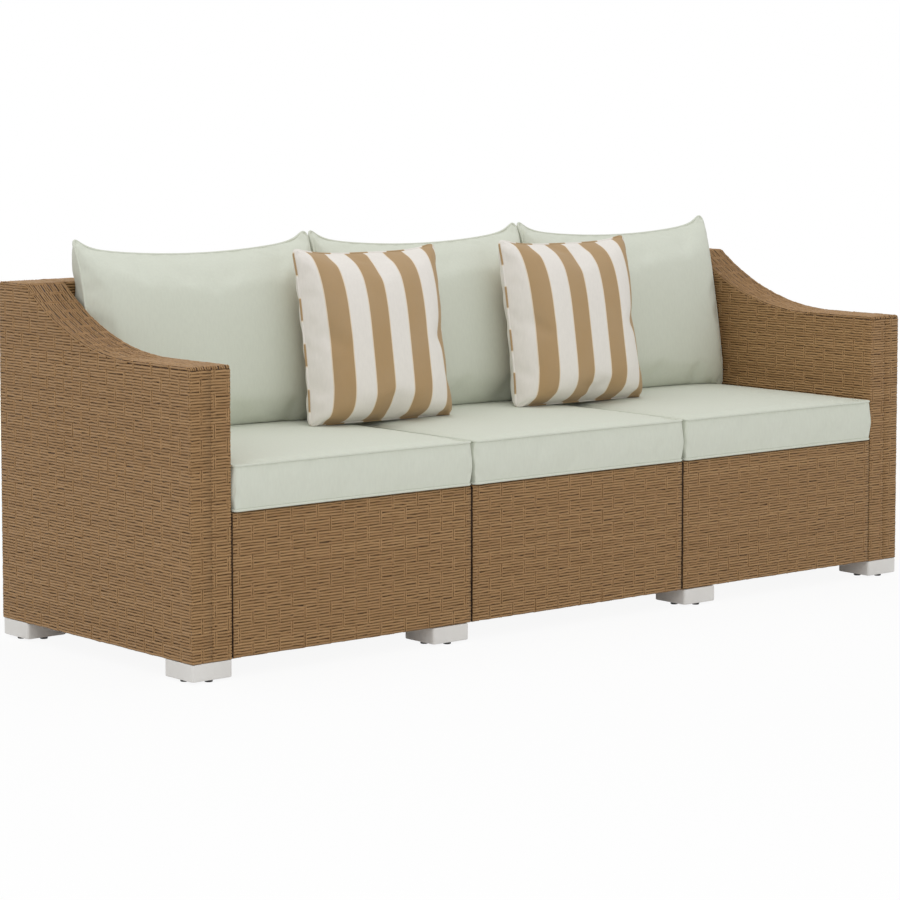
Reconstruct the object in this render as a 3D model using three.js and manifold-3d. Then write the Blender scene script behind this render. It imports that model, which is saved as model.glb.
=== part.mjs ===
// Three-seat woven garden sofa: two swept arms, three seat bays and three back panels, each a welded
// tube frame wrapped in woven strand, with loose seat cushions, back cushions and two throw pillows.
// Millimetres, +Z up, +X along the sofa, the front faces -Y, the origin is on the floor at the centre.

import * as THREE from 'three'
import { mergeVertices } from 'three/addons/utils/BufferGeometryUtils.js'
import Module from 'manifold-3d'

const wasm = await Module()
wasm.setup()

// Overall sizes
const overall_width = 2000
const overall_depth = 677
const back_height = 735
const arm_height = 606
const deck_height = 321
const arm_thickness = 94
const back_thickness = 100
const front_thickness = 94

// Clearances
const fit_gap = 0.3
const seam_gap = 3
const cut_overrun = 2

// Woven skin and welded square tube
const weave_thickness = 6
const tube_size = 20
const tube_wall = 1

// Side outline of an arm
const sweep_radius = 600
const crest_radius = 14
const edge_radius = 12
const sweep_steps = 8
const corner_steps = 2

// Feet and glides
const foot_size = 94
const foot_height = 34
const foot_corner_radius = 5
const foot_seam_inset = 8
const glide_radius = 8
const glide_height = 5
const glide_spacing = 66
const glide_plate_size = 84
const glide_plate_thickness = 5

// Fasteners
const bolt_radius = 3
const bolt_head_radius = 6
const bolt_head_height = 4
const foot_stud_radius = 4
const nut_wall = 2.5
const nut_length = 8
const bolt_tip = 1
const round_steps = 6

// Bolt places as shares of the part they hold
const front_bolt_height_share = 0.5
const rail_bolt_depth_share = 0.7
const rear_bolt_height_share = 0.82
const deck_rail_width_shares = [-0.17, 0.17]
const arm_tie_drop = 50

// Seat cushions
const seat_cushion_thickness = 90
const seat_crown = 9
const cushion_side_gap = 1
const seat_side_draw = 3
const seat_boxing_bulge = 3.5
const seat_corner_share = 0.006
const foam_wrap = 15

// Back cushions
const back_cushion_height = 417
const back_cushion_bulge = 74
const back_cushion_lean = THREE.MathUtils.degToRad(10.3)
const back_cushion_base_set = 88
const back_cushion_sink = 12
const back_cushion_sag = 32
const back_cushion_side_draw = 7

// Throw pillows
const pillow_width = 370
const pillow_height = 376
const pillow_bulge = 68
const pillow_lean = THREE.MathUtils.degToRad(9.5)
const pillow_sag = 9
const pillow_place_shares = [-0.457, 0.491]
const pillow_turns = [THREE.MathUtils.degToRad(-3.4), THREE.MathUtils.degToRad(-2.2)]

// Soft covers: half a seam, the cover with its wadding, and the zip's opening in the rear
const seam_half = 3
const cover_cells = 10
const fill_cells = 4
const boxing_layers = 3
const wadding = 14
const fill_inset = 34
const zip_length_share = 0.62
const zip_width = 1.5
const zip_rise = 70

// Places worked out from the sizes above
const half_width = overall_width / 2
const half_depth = overall_depth / 2
const bay_names = ['left', 'middle', 'right']
const bay_width = (overall_width - 2 * arm_thickness) / bay_names.length
const weave_base = glide_height + foot_height
const back_face = half_depth - back_thickness
const front_face = -half_depth + front_thickness
const skin = weave_thickness + fit_gap
const frame_base = weave_base + skin
const rail_top = deck_height - weave_thickness - fit_gap
const rail_base = rail_top - tube_size
const front_post_y = -half_depth + skin + tube_size / 2
const rear_post_y = half_depth - skin - tube_size / 2
const foot_front_y = -half_depth + front_thickness / 2
const foot_rear_y = half_depth - back_thickness / 2
const bay_foot_offset = bay_width / 2 - foot_seam_inset - foot_size / 2
const seat_top = deck_height + fit_gap + seat_cushion_thickness + seat_crown
const rest_height = seat_top + fit_gap
const frame_half_width = (bay_width - fit_gap) / 2
const weave_half_width = (bay_width - seam_gap) / 2

// Colours and finishes
const weave_look = new THREE.MeshStandardMaterial({ color: 0x8f7257, roughness: 0.6 })
const steel_look = new THREE.MeshStandardMaterial({ color: 0x3b332b, roughness: 0.5, metalness: 0.4 })
const foot_look = new THREE.MeshStandardMaterial({ color: 0xc9c8c4, roughness: 0.55 })
const glide_look = new THREE.MeshStandardMaterial({ color: 0x1c1b1a, roughness: 0.6 })
const zinc_look = new THREE.MeshStandardMaterial({ color: 0xa9adb0, roughness: 0.35, metalness: 1 })
const cushion_look = new THREE.MeshStandardMaterial({ color: 0xc9ccbf, roughness: 0.95 })
const pillow_look = new THREE.MeshStandardMaterial({ color: 0xd9d5cf, roughness: 0.95 })
const foam_look = new THREE.MeshStandardMaterial({ color: 0xe8e0c8, roughness: 0.9 })

// A closed solid from a geometry whose faces share their corners
function solid_of(geometry) {
  const bare = new THREE.BufferGeometry()
  bare.setAttribute('position', geometry.getAttribute('position'))
  bare.setIndex(geometry.getIndex())
  const merged = mergeVertices(bare)
  const index = merged.getIndex().array
  const kept = []
  for (let i = 0; i < index.length; i += 3) {
    const [a, b, c] = [index[i], index[i + 1], index[i + 2]]
    if (a !== b && b !== c && c !== a) kept.push(a, b, c)
  }
  const vertProperties = new Float32Array(merged.getAttribute('position').array)
  const triVerts = new Uint32Array(kept)
  return new wasm.Manifold(new wasm.Mesh({ numProp: 3, vertProperties, triVerts }))
}

// A geometry from a solid
function geometry_of(solid) {
  const faces = solid.getMesh()
  const geometry = new THREE.BufferGeometry()
  geometry.setAttribute('position', new THREE.BufferAttribute(new Float32Array(faces.vertProperties), 3))
  geometry.setIndex(new THREE.BufferAttribute(new Uint32Array(faces.triVerts), 1))
  geometry.computeVertexNormals()
  return geometry
}

function joined(solids) {
  return solids.reduce((whole, piece) => whole.add(piece))
}

function without(solid, cuts) {
  return cuts.reduce((whole, piece) => whole.subtract(piece), solid)
}

// A block between two opposite corners
function block(low, high) {
  const geometry = new THREE.BoxGeometry()
  const points = geometry.getAttribute('position')
  for (let i = 0; i < points.count; i += 1) {
    points.setX(i, points.getX(i) > 0 ? high[0] : low[0])
    points.setY(i, points.getY(i) > 0 ? high[1] : low[1])
    points.setZ(i, points.getZ(i) > 0 ? high[2] : low[2])
  }
  return solid_of(geometry)
}

// The same block made smaller by the tube's wall on every side
function bore_of(low, high) {
  return block(low.map((value) => value + tube_wall), high.map((value) => value - tube_wall))
}

// A turned piece: a profile of [radius, distance] pairs about a line from start along a direction
function turned(profile, start, direction) {
  const points = profile.map(([radius, distance]) => new THREE.Vector2(radius, distance))
  const geometry = new THREE.LatheGeometry(points, round_steps)
  const turn = new THREE.Quaternion().setFromUnitVectors(
    new THREE.Vector3(0, 1, 0), new THREE.Vector3(...direction))
  geometry.applyQuaternion(turn)
  geometry.translate(...start)
  return solid_of(geometry)
}

function rod(radius, length, start, direction) {
  return turned([[0, 0], [radius, 0], [radius, length], [0, length]], start, direction)
}

// An outline in Y and Z, with an optional hole, drawn out along X
function drawn_along_x(outline, hole, x_low, x_high) {
  const shape = new THREE.Shape(outline)
  if (hole) shape.holes.push(new THREE.Path(hole))
  const geometry = new THREE.ExtrudeGeometry(shape, { depth: x_high - x_low, bevelEnabled: false })
  geometry.applyMatrix4(new THREE.Matrix4().makeBasis(
    new THREE.Vector3(0, 1, 0), new THREE.Vector3(0, 0, 1), new THREE.Vector3(1, 0, 0)))
  geometry.translate(x_low, 0, 0)
  return solid_of(geometry)
}

function rectangle(y_low, z_low, y_high, z_high) {
  return [[y_low, z_low], [y_high, z_low], [y_high, z_high], [y_low, z_high]]
    .map(([y, z]) => new THREE.Vector2(y, z))
}

// Points on an arc from one angle to another, or the corner itself where the radius runs out
function arc(centre_y, centre_z, radius, from, to, steps) {
  const points = []
  for (let i = 0; i <= steps; i += 1) {
    const angle = from + (to - from) * i / steps
    points.push(new THREE.Vector2(centre_y + radius * Math.cos(angle), centre_z + radius * Math.sin(angle)))
  }
  return points
}

function corner(y, z, y_side, z_side, radius, from) {
  if (radius <= fit_gap) return [new THREE.Vector2(y, z)]
  return arc(y + y_side * radius, z + z_side * radius, radius, from, from + Math.PI / 2, corner_steps)
}

// Side outline of an arm, set in on every side: a level front part, a hollow sweep, a crest and a level rear
function arm_outline(inset) {
  const front = -half_depth + inset
  const rear = half_depth - inset
  const rise = back_height - arm_height
  const reach = sweep_radius + crest_radius
  const sweep_y = back_face - Math.sqrt(reach ** 2 - (reach - rise) ** 2)
  const sweep_z = arm_height + sweep_radius
  const crest_z = back_height - crest_radius
  const meeting = Math.atan2(crest_z - sweep_z, back_face - sweep_y)
  const radius = sweep_radius + inset
  const drop = sweep_z - back_height + inset
  const sharp_crest = crest_radius - inset <= fit_gap
  const sweep_end = sharp_crest ? -Math.asin(drop / radius) : meeting
  const crest = sharp_crest ? [] : arc(back_face, crest_z, crest_radius - inset,
    Math.PI / 2, meeting + Math.PI, corner_steps).slice(0, -1)
  return [
    new THREE.Vector2(front, weave_base + inset),
    new THREE.Vector2(rear, weave_base + inset),
    ...corner(rear, back_height - inset, -1, -1, edge_radius - inset, 0),
    ...crest,
    ...arc(sweep_y, sweep_z, radius, sweep_end, -Math.PI / 2, sweep_steps),
    ...corner(front, arm_height - inset, 1, -1, edge_radius - inset, Math.PI / 2),
  ]
}

const group = new THREE.Group()

function add_piece(parent, name, solid, material) {
  const mesh = new THREE.Mesh(geometry_of(solid), material)
  mesh.name = name
  parent.add(mesh)
  return mesh
}

// Where bolts cross from one frame to the next, as [y, z] on their line
const side_bolt_places = [
  [front_post_y, weave_base + (deck_height - weave_base) * front_bolt_height_share],
  [front_face + (back_face - front_face) * rail_bolt_depth_share, rail_base + tube_size / 2],
  [rear_post_y, weave_base + (back_height - weave_base) * rear_bolt_height_share],
]
const seat_bolt_places = side_bolt_places.slice(0, 2)
const rear_bolt_places = side_bolt_places.slice(2)
const hole_radius = bolt_radius + fit_gap
const foot_hole_radius = foot_stud_radius + fit_gap
const nut_hole_depth = tube_wall + nut_length + fit_gap

// A hole along X into a face that looks to one side
function side_hole(x, side, [y, z], depth) {
  return rod(hole_radius, depth + cut_overrun, [x + side * cut_overrun, y, z], [-side, 0, 0])
}

// A nut welded inside the wall of a tube, behind a face that looks to one side
function side_nut(x, side, [y, z]) {
  return rod(hole_radius + nut_wall, tube_wall / 2 + nut_length,
    [x - side * tube_wall / 2, y, z], [-side, 0, 0])
}

// A hole up into an underside
function foot_hole(x, y, z_low, height) {
  return rod(foot_hole_radius, height + cut_overrun, [x, y, z_low - cut_overrun], [0, 0, 1])
}

// The nut and hole that take a foot's stud in the underside of a frame
function foot_nut(x, y) {
  return rod(foot_hole_radius + nut_wall, tube_wall / 2 + nut_length,
    [x, y, frame_base + tube_wall / 2], [0, 0, 1])
}

function foot_nut_hole(x, y) {
  return foot_hole(x, y, frame_base, nut_hole_depth)
}

// Arm frame: an outer and an inner loop, ties between them and a bearer for the seat on the inner loop
function arm_frame(inward) {
  const outer_x = -inward * (arm_thickness / 2 - skin)
  const loop_spans = [[outer_x, outer_x + inward * tube_size], [-outer_x - inward * tube_size, -outer_x]]
    .map((span) => span.sort((a, b) => a - b))
  const loops = loop_spans.map(([low, high]) =>
    drawn_along_x(arm_outline(skin), arm_outline(skin + tube_size), low, high))
  const bores = loop_spans.map(([low, high]) => drawn_along_x(arm_outline(skin + tube_wall),
    arm_outline(skin + tube_size - tube_wall), low + tube_wall, high - tube_wall))
  const half = arm_thickness / 2 - skin
  const [bearer_low, bearer_high] = loop_spans[1]
  const members = [
    [foot_front_y, frame_base],
    [foot_rear_y, frame_base],
    [front_post_y, arm_height - skin - tube_size - arm_tie_drop],
    [rear_post_y, back_height - skin - tube_size - arm_tie_drop],
  ].map(([y, z]) => [[-half, y - tube_size / 2, z], [half, y + tube_size / 2, z + tube_size]])
  members.push([[bearer_low, front_post_y - tube_size / 2, rail_base],
    [bearer_high, rear_post_y + tube_size / 2, rail_top]])
  const outside = joined([...loops, ...members.map(([low, high]) => block(low, high))])
  const inside = joined([...bores, ...members.map(([low, high]) => bore_of(low, high))])
  const feet = [foot_front_y, foot_rear_y]
  const nuts = [...side_bolt_places.map((place) => side_nut(inward * half, inward, place)),
    ...feet.map((y) => foot_nut(0, y))]
  const holes = side_bolt_places.map((place) => side_hole(inward * half, inward, place, nut_hole_depth))
  holes.push(...feet.map((y) => foot_nut_hole(0, y)))
  return without(joined([outside.subtract(inside), ...nuts]), holes)
}

// Woven skin of an arm: closed all round the frame, with holes for the bolts and the feet's studs
function arm_weave(inward) {
  const half = arm_thickness / 2
  const outside = drawn_along_x(arm_outline(0), null, -half, half)
  const inside = drawn_along_x(arm_outline(weave_thickness), null,
    -half + weave_thickness, half - weave_thickness)
  const holes = side_bolt_places.map((place) => side_hole(inward * half, inward, place, skin))
  holes.push(...[foot_front_y, foot_rear_y].map((y) => foot_hole(0, y, weave_base, skin)))
  return without(outside.subtract(inside), holes)
}

for (const [side_name, inward] of [['left', 1], ['right', -1]]) {
  const arm = new THREE.Group()
  arm.position.x = -inward * (half_width - arm_thickness / 2)
  add_piece(arm, `${side_name}_arm_frame`, arm_frame(inward), steel_look)
  add_piece(arm, `${side_name}_arm_weave`, arm_weave(inward), weave_look)
  group.add(arm)
}

// The twelve edges of a block as square bars, left by cutting through it along each axis
function edge_bars(low, high, thickness) {
  const cuts = [0, 1, 2].map((through) => {
    const start = low.map((value, axis) => (axis === through ? value - cut_overrun : value + thickness))
    const end = high.map((value, axis) => (axis === through ? value + cut_overrun : value - thickness))
    return block(start, end)
  })
  return without(block(low, high), cuts)
}

// A welded frame of square tube along the edges of a block, with more tubes given as pairs of corners
function tube_frame(low, high, members, nuts, holes) {
  const bars = edge_bars(low, high, tube_size)
  const bores = edge_bars(low.map((value) => value + tube_wall), high.map((value) => value - tube_wall),
    tube_size - 2 * tube_wall)
  const outside = joined([bars, ...members.map(([start, end]) => block(start, end))])
  const inside = joined([bores, ...members.map(([start, end]) => bore_of(start, end))])
  return without(joined([outside.subtract(inside), ...nuts]), holes)
}

// Both ends of a bay's frame: an outer bay is drilled through for the bolts, the middle one has nuts for them
function bay_ends(places, is_middle) {
  const ends = [-1, 1].flatMap((side) => places.map((place) => [side * frame_half_width, side, place]))
  const depth = is_middle ? nut_hole_depth : tube_size + cut_overrun
  return {
    nuts: is_middle ? ends.map((end) => side_nut(...end)) : [],
    holes: ends.map((end) => side_hole(...end, depth)),
  }
}

// Seat frame: a box behind the woven front, and rails under the deck back to the rear rail
function seat_frame(is_middle, foot_x) {
  const rear_rail_y = back_face - fit_gap - tube_size
  const members = [[[-frame_half_width, rear_rail_y, rail_base],
    [frame_half_width, rear_rail_y + tube_size, rail_top]]]
  for (const x of rail_places()) {
    members.push([[x - tube_size / 2, -half_depth + skin, rail_base],
      [x + tube_size / 2, rear_rail_y + tube_size, rail_top]])
  }
  for (const x of foot_x) {
    members.push([[x - tube_size / 2, -half_depth + skin, frame_base],
      [x + tube_size / 2, front_face - skin, frame_base + tube_size]])
  }
  const { nuts, holes } = bay_ends(seat_bolt_places, is_middle)
  nuts.push(...foot_x.map((x) => foot_nut(x, foot_front_y)))
  holes.push(...foot_x.map((x) => foot_nut_hole(x, foot_front_y)))
  return tube_frame([-frame_half_width, -half_depth + skin, frame_base],
    [frame_half_width, front_face - skin, rail_top], members, nuts, holes)
}

function rail_places() {
  const side_rail = frame_half_width - tube_size / 2
  return [-side_rail, ...deck_rail_width_shares.map((share) => bay_width * share), side_rail]
}

// Woven skin of a seat: a closed band over the front, inner and under faces, and the deck behind it. The deck
// rails pass through notches in the band's inner face.
function seat_weave(foot_x) {
  const band = drawn_along_x(
    rectangle(-half_depth, weave_base, front_face, deck_height),
    rectangle(-half_depth + weave_thickness, weave_base + weave_thickness,
      front_face - weave_thickness, deck_height - weave_thickness),
    -weave_half_width, weave_half_width)
  const deck = block([-weave_half_width, front_face - weave_thickness, deck_height - weave_thickness],
    [weave_half_width, back_face - fit_gap, deck_height])
  const notches = rail_places().map((x) => block(
    [x - tube_size / 2 - fit_gap, front_face - weave_thickness - cut_overrun, rail_base - fit_gap],
    [x + tube_size / 2 + fit_gap, front_face + cut_overrun, rail_top + fit_gap]))
  const holes = foot_x.map((x) => foot_hole(x, foot_front_y, weave_base, skin))
  return without(band.add(deck), [...notches, ...holes])
}

// Back frame: a box of tubes with a cross rail at seat height
function back_frame(is_middle, foot_x) {
  const [front, rear] = [back_face + skin, half_depth - skin]
  const members = [[[-frame_half_width, front, rail_base], [frame_half_width, front + tube_size, rail_top]]]
  for (const x of foot_x) {
    members.push([[x - tube_size / 2, front, frame_base], [x + tube_size / 2, rear, frame_base + tube_size]])
  }
  const { nuts, holes } = bay_ends(rear_bolt_places, is_middle)
  nuts.push(...foot_x.map((x) => foot_nut(x, foot_rear_y)))
  holes.push(...foot_x.map((x) => foot_nut_hole(x, foot_rear_y)))
  return tube_frame([-frame_half_width, front, frame_base], [frame_half_width, rear, back_height - skin],
    members, nuts, holes)
}

// Woven back of a bay: a closed band over its front, top, rear and underside
function back_weave(foot_x) {
  const band = drawn_along_x(
    rectangle(back_face, weave_base, half_depth, back_height),
    rectangle(back_face + weave_thickness, weave_base + weave_thickness,
      half_depth - weave_thickness, back_height - weave_thickness),
    -weave_half_width, weave_half_width)
  return without(band, foot_x.map((x) => foot_hole(x, foot_rear_y, weave_base, skin)))
}

// Each outer bay stands on a foot beside its inner seam; the middle bay hangs between them
for (const [i, name] of bay_names.entries()) {
  const bay = new THREE.Group()
  const from_middle = i - (bay_names.length - 1) / 2
  bay.position.x = from_middle * bay_width
  const foot_x = from_middle === 0 ? [] : [-Math.sign(from_middle) * bay_foot_offset]
  add_piece(bay, `seat_frame_${name}`, seat_frame(from_middle === 0, foot_x), steel_look)
  add_piece(bay, `seat_weave_${name}`, seat_weave(foot_x), weave_look)
  add_piece(bay, `back_frame_${name}`, back_frame(from_middle === 0, foot_x), steel_look)
  add_piece(bay, `back_weave_${name}`, back_weave(foot_x), weave_look)
  group.add(bay)
}

// Foot: a moulded block with a recess under it for the glide plate
function foot() {
  const half = foot_size / 2
  const radius = foot_corner_radius
  const outline = []
  for (const [x_side, y_side, from] of [[1, -1, -0.5], [1, 1, 0], [-1, 1, 0.5], [-1, -1, 1]]) {
    outline.push(...arc(x_side * (half - radius), y_side * (half - radius), radius,
      from * Math.PI, (from + 1 / 2) * Math.PI, corner_steps))
  }
  const geometry = new THREE.ExtrudeGeometry(new THREE.Shape(outline),
    { depth: foot_height - fit_gap, bevelEnabled: false })
  const recess = glide_plate_size / 2 + fit_gap
  const pocket = block([-recess, -recess, -cut_overrun], [recess, recess, glide_plate_thickness + fit_gap])
  return without(solid_of(geometry), [pocket, foot_hole(0, 0, 0, foot_height)])
}

// Glide: a plate with a round pad at the middle of each side, and the stud that holds the foot to the frame
function glide() {
  const half = glide_plate_size / 2
  const plate = block([-half, -half, 0], [half, half, glide_plate_thickness])
  const pads = [[-1, 0], [1, 0], [0, -1], [0, 1]].map(([i, j]) =>
    rod(glide_radius, glide_height + glide_plate_thickness / 2,
      [i * glide_spacing / 2, j * glide_spacing / 2, -glide_height], [0, 0, 1]))
  const stud_length = foot_height + skin + tube_wall + nut_length + bolt_tip
  return joined([plate, ...pads, rod(foot_stud_radius, stud_length, [0, 0, 0], [0, 0, 1])])
}

const arm_centre = half_width - arm_thickness / 2
const seam_foot = bay_width / 2 + foot_seam_inset + foot_size / 2
const foot_columns = [['left_arm', -arm_centre], ['left_seam', -seam_foot],
  ['right_seam', seam_foot], ['right_arm', arm_centre]]
for (const [row, y] of [['front', foot_front_y], ['rear', foot_rear_y]]) {
  for (const [column, x] of foot_columns) {
    const stand = new THREE.Group()
    stand.position.set(x, y, glide_height)
    add_piece(stand, `foot_${row}_${column}`, foot(), foot_look)
    add_piece(stand, `glide_${row}_${column}`, glide(), glide_look)
    group.add(stand)
  }
}

// Bolts along X at the four meeting planes, their heads in the outer bays and their tips in the welded nuts
function bolt(clamped, direction) {
  const length = clamped + tube_wall + nut_length + bolt_tip
  return turned([[0, -bolt_head_height], [bolt_head_radius, -bolt_head_height], [bolt_head_radius, -fit_gap],
    [bolt_radius, -fit_gap], [bolt_radius, length], [0, length]], [0, 0, 0], direction)
}

const seam_x = bay_width / 2
const meeting_planes = [['left_arm', -(seam_x + bay_width), -1], ['left_seam', -seam_x, 1],
  ['right_seam', seam_x, -1], ['right_arm', seam_x + bay_width, 1]]
for (const [column, x, direction] of meeting_planes) {
  const joint_gap = column.endsWith('arm') ? fit_gap / 2 + skin : fit_gap
  for (const [i, row] of ['front', 'rail', 'rear'].entries()) {
    const solid = bolt(tube_size + joint_gap, [direction, 0, 0])
    const mesh = add_piece(group, `bolt_${row}_${column}`, solid, zinc_look)
    mesh.position.set(x - direction * (fit_gap / 2 + tube_size), ...side_bolt_places[i])
  }
}

// A soft form from a block whose faces are cut in a grid: place(u, v, h) has u and v from -1 to 1 across the
// two broad faces, and h from 0 to 1 through the thickness
function soft_form(columns, rows, layers, place) {
  const geometry = new THREE.BoxGeometry(1, 1, 1, columns, rows, layers)
  const points = geometry.getAttribute('position')
  for (let i = 0; i < points.count; i += 1) {
    const u = 2 * Math.round((points.getX(i) + 1 / 2) * columns) / columns - 1
    const v = 2 * Math.round((points.getY(i) + 1 / 2) * rows) / rows - 1
    const h = Math.round((points.getZ(i) + 1 / 2) * layers) / layers
    const spread = (share) => Math.sin(share * Math.PI / 2)
    points.setXYZ(i, ...place(spread(u), spread(v), h))
  }
  return geometry
}

// Boxed seat cushion: flat under, crowned on top, sides drawn in between the corners and bulged at mid-height
const seat_half_width = bay_width / 2 - cushion_side_gap
const seat_half_depth = (back_face - cushion_side_gap + half_depth) / 2
function seat_cushion_form() {
  return solid_of(soft_form(cover_cells, cover_cells, boxing_layers, (u, v, h) => {
    const bulge = seat_boxing_bulge * (1 - 4 * (h - 1 / 2) ** 2)
    const pulled = 1 - seat_corner_share * (u * v) ** 8
    const reach_x = (seat_half_width - seat_boxing_bulge - seat_side_draw * (1 - v ** 4) + bulge) * pulled
    const reach_y = (seat_half_depth - seat_boxing_bulge - seat_side_draw * (1 - u ** 4) + bulge) * pulled
    const crown = h === 1 ? seat_crown * (1 - u ** 4) * (1 - v ** 4) : 0
    return [u * reach_x, v * reach_y, h * seat_cushion_thickness + crown]
  }))
}

// Knife-edged cushion: corners stand out past edges that draw in, the two faces swell towards the middle.
// Width along X, thickness along Y, height along Z, the middle of its foot at the origin.
function knife_edge_form(cells, width, height, bulge, draw, sag, edge_half) {
  const geometry = soft_form(cells, cells, 1, (u, v, h) => {
    const reach_x = width / 2 - draw * (1 - v ** 4)
    const reach_z = height / 2 - sag * (1 - u ** 8)
    const swell = Math.sqrt((1 - Math.abs(u) ** 5) * (1 - Math.abs(v) ** 5))
    const half = edge_half + (bulge - edge_half) * swell
    return [u * reach_x, (1 - 2 * h) * half, height / 2 + v * reach_z]
  })
  return geometry
}

// The cover with its wadding, open along the line of its zip, and the filling in it
function add_soft_pieces(parent, name, fill_name, look, outer, hollow, filling, opening) {
  add_piece(parent, `${name}_cover`, outer.subtract(hollow).subtract(opening), look)
  add_piece(parent, `${name}_${fill_name}`, filling, foam_look)
}

for (const [i, name] of bay_names.entries()) {
  const place = new THREE.Group()
  place.position.set((i - (bay_names.length - 1) / 2) * bay_width, seat_half_depth - half_depth,
    deck_height + fit_gap)
  const [x, y] = [seat_half_width - foam_wrap, seat_half_depth - foam_wrap]
  const [low, high] = [[-x, -y, foam_wrap], [x, y, seat_cushion_thickness - foam_wrap / 2]]
  const hollow = block(low, high)
  const foam = block(low.map((value) => value + fit_gap), high.map((value) => value - fit_gap))
  const half_zip = seat_half_width * zip_length_share
  const middle = seat_cushion_thickness / 2
  const opening = block([-half_zip, y - foam_wrap, middle - zip_width / 2],
    [half_zip, y + 2 * foam_wrap, middle + zip_width / 2])
  add_soft_pieces(place, `seat_cushion_${name}`, 'foam', cushion_look, seat_cushion_form(),
    hollow, foam, opening)
  group.add(place)
}

// Back cushion, leaning back on its panel and flat where it rests on the seat cushion and the panel
const back_cushion_width = bay_width - 2 * cushion_side_gap
function back_cushion_body(cells, inset, thinner, gap) {
  const geometry = knife_edge_form(cells, back_cushion_width - 2 * inset, back_cushion_height - 2 * inset,
    back_cushion_bulge - thinner, back_cushion_side_draw, back_cushion_sag, seam_half)
  geometry.translate(0, 0, inset)
  geometry.rotateX(-back_cushion_lean)
  geometry.translate(0, back_face - back_cushion_base_set, rest_height - back_cushion_sink)
  const room = block([-bay_width, -half_depth, rest_height + gap],
    [bay_width, back_face - fit_gap - gap, rest_height + back_cushion_height * 2])
  return solid_of(geometry).intersect(room)
}

let back_cushion_front = 0
for (const [i, name] of bay_names.entries()) {
  const place = new THREE.Group()
  place.position.x = (i - (bay_names.length - 1) / 2) * bay_width
  const outer = back_cushion_body(cover_cells, 0, 0, 0)
  const hollow = back_cushion_body(fill_cells, fill_inset, wadding, wadding)
  const filling = back_cushion_body(fill_cells, fill_inset + fit_gap, wadding + fit_gap,
    wadding + fit_gap)
  back_cushion_front = outer.boundingBox().min[1]
  const half_zip = back_cushion_width / 2 * zip_length_share
  const zip_base = rest_height + zip_rise
  const opening = block([-half_zip, back_face - back_cushion_base_set, zip_base],
    [half_zip, back_face + cut_overrun, zip_base + zip_width])
  add_soft_pieces(place, `back_cushion_${name}`, 'fill', cushion_look, outer, hollow, filling, opening)
  group.add(place)
}

// Throw pillows, each turned a little and leaning on the back cushions behind it
function pillow_body(cells, inset, thinner) {
  const geometry = knife_edge_form(cells, pillow_width - 2 * inset, pillow_height - 2 * inset,
    pillow_bulge - thinner, pillow_sag, pillow_sag, seam_half)
  geometry.translate(0, 0, inset)
  return solid_of(geometry)
}

for (const [i, name] of ['left', 'right'].entries()) {
  const outer = pillow_body(cover_cells, 0, 0)
  const hollow = pillow_body(fill_cells, fill_inset, wadding)
  const filling = pillow_body(fill_cells, fill_inset + fit_gap, wadding + fit_gap)
  const half_zip = pillow_width / 2 * zip_length_share
  const opening = block([-half_zip, 0, zip_rise], [half_zip, pillow_bulge * 2, zip_rise + zip_width])
  const place = new THREE.Group()
  add_soft_pieces(place, `throw_pillow_${name}`, 'fill', pillow_look, outer, hollow, filling, opening)
  place.rotation.set(-pillow_lean, 0, pillow_turns[i], 'ZYX')
  place.updateMatrixWorld(true)
  const box = new THREE.Box3().setFromObject(place, true)
  place.position.set(pillow_place_shares[i] * bay_width, back_cushion_front - fit_gap - box.max.y,
    rest_height - box.min.z)
  group.add(place)
}

export default group
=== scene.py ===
"""Looks of a woven garden sofa, laid out as an add-on: strands, feet, cushions and pillows round its frame."""

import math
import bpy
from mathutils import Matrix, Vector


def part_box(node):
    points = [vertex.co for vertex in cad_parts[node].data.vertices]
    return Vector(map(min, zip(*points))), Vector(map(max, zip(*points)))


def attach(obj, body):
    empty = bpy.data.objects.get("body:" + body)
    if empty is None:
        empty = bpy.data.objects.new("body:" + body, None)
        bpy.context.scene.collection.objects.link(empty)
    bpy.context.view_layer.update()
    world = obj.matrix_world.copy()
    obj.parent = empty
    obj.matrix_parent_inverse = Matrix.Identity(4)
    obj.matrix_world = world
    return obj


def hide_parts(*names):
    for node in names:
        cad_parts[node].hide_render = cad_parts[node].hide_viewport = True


bl_info = {
    "name": "Woven garden sofa",
    "version": (1, 0, 0),
    "blender": (4, 5, 0),
    "location": "3D View > Sidebar > Sofa",
    "description": "Builds the woven skins, feet, cushions and pillows of a garden sofa",
    "category": "Object",
}

import bpy
import numpy as np
from bpy.props import FloatProperty, FloatVectorProperty, IntProperty, PointerProperty
from mathutils import Matrix, Vector
from mathutils.bvhtree import BVHTree

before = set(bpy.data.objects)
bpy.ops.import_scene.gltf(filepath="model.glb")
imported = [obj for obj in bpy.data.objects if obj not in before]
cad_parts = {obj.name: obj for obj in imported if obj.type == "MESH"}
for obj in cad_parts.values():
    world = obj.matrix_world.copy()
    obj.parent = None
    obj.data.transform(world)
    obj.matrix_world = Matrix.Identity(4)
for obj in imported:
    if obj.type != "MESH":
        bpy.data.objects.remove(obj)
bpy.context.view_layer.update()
BAYS = ("left", "middle", "right")
MM = 0.001
QUARTER = math.pi / 2


def linear(red, green, blue):
    """A colour written as on a screen, 0 to 255, as the linear values that a shader takes."""
    parts = [c / 255 for c in (red, green, blue)]
    return tuple(p / 12.92 if p < 0.04045 else ((p + 0.055) / 1.055) ** 2.4 for p in parts)


def length(name, text, millimetres):
    return FloatProperty(name=name, description=text, default=millimetres * MM, min=0.0, unit="LENGTH",
                         precision=4)


def angle(name, text, degrees):
    return FloatProperty(name=name, description=text, default=math.radians(degrees), subtype="ANGLE")


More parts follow.
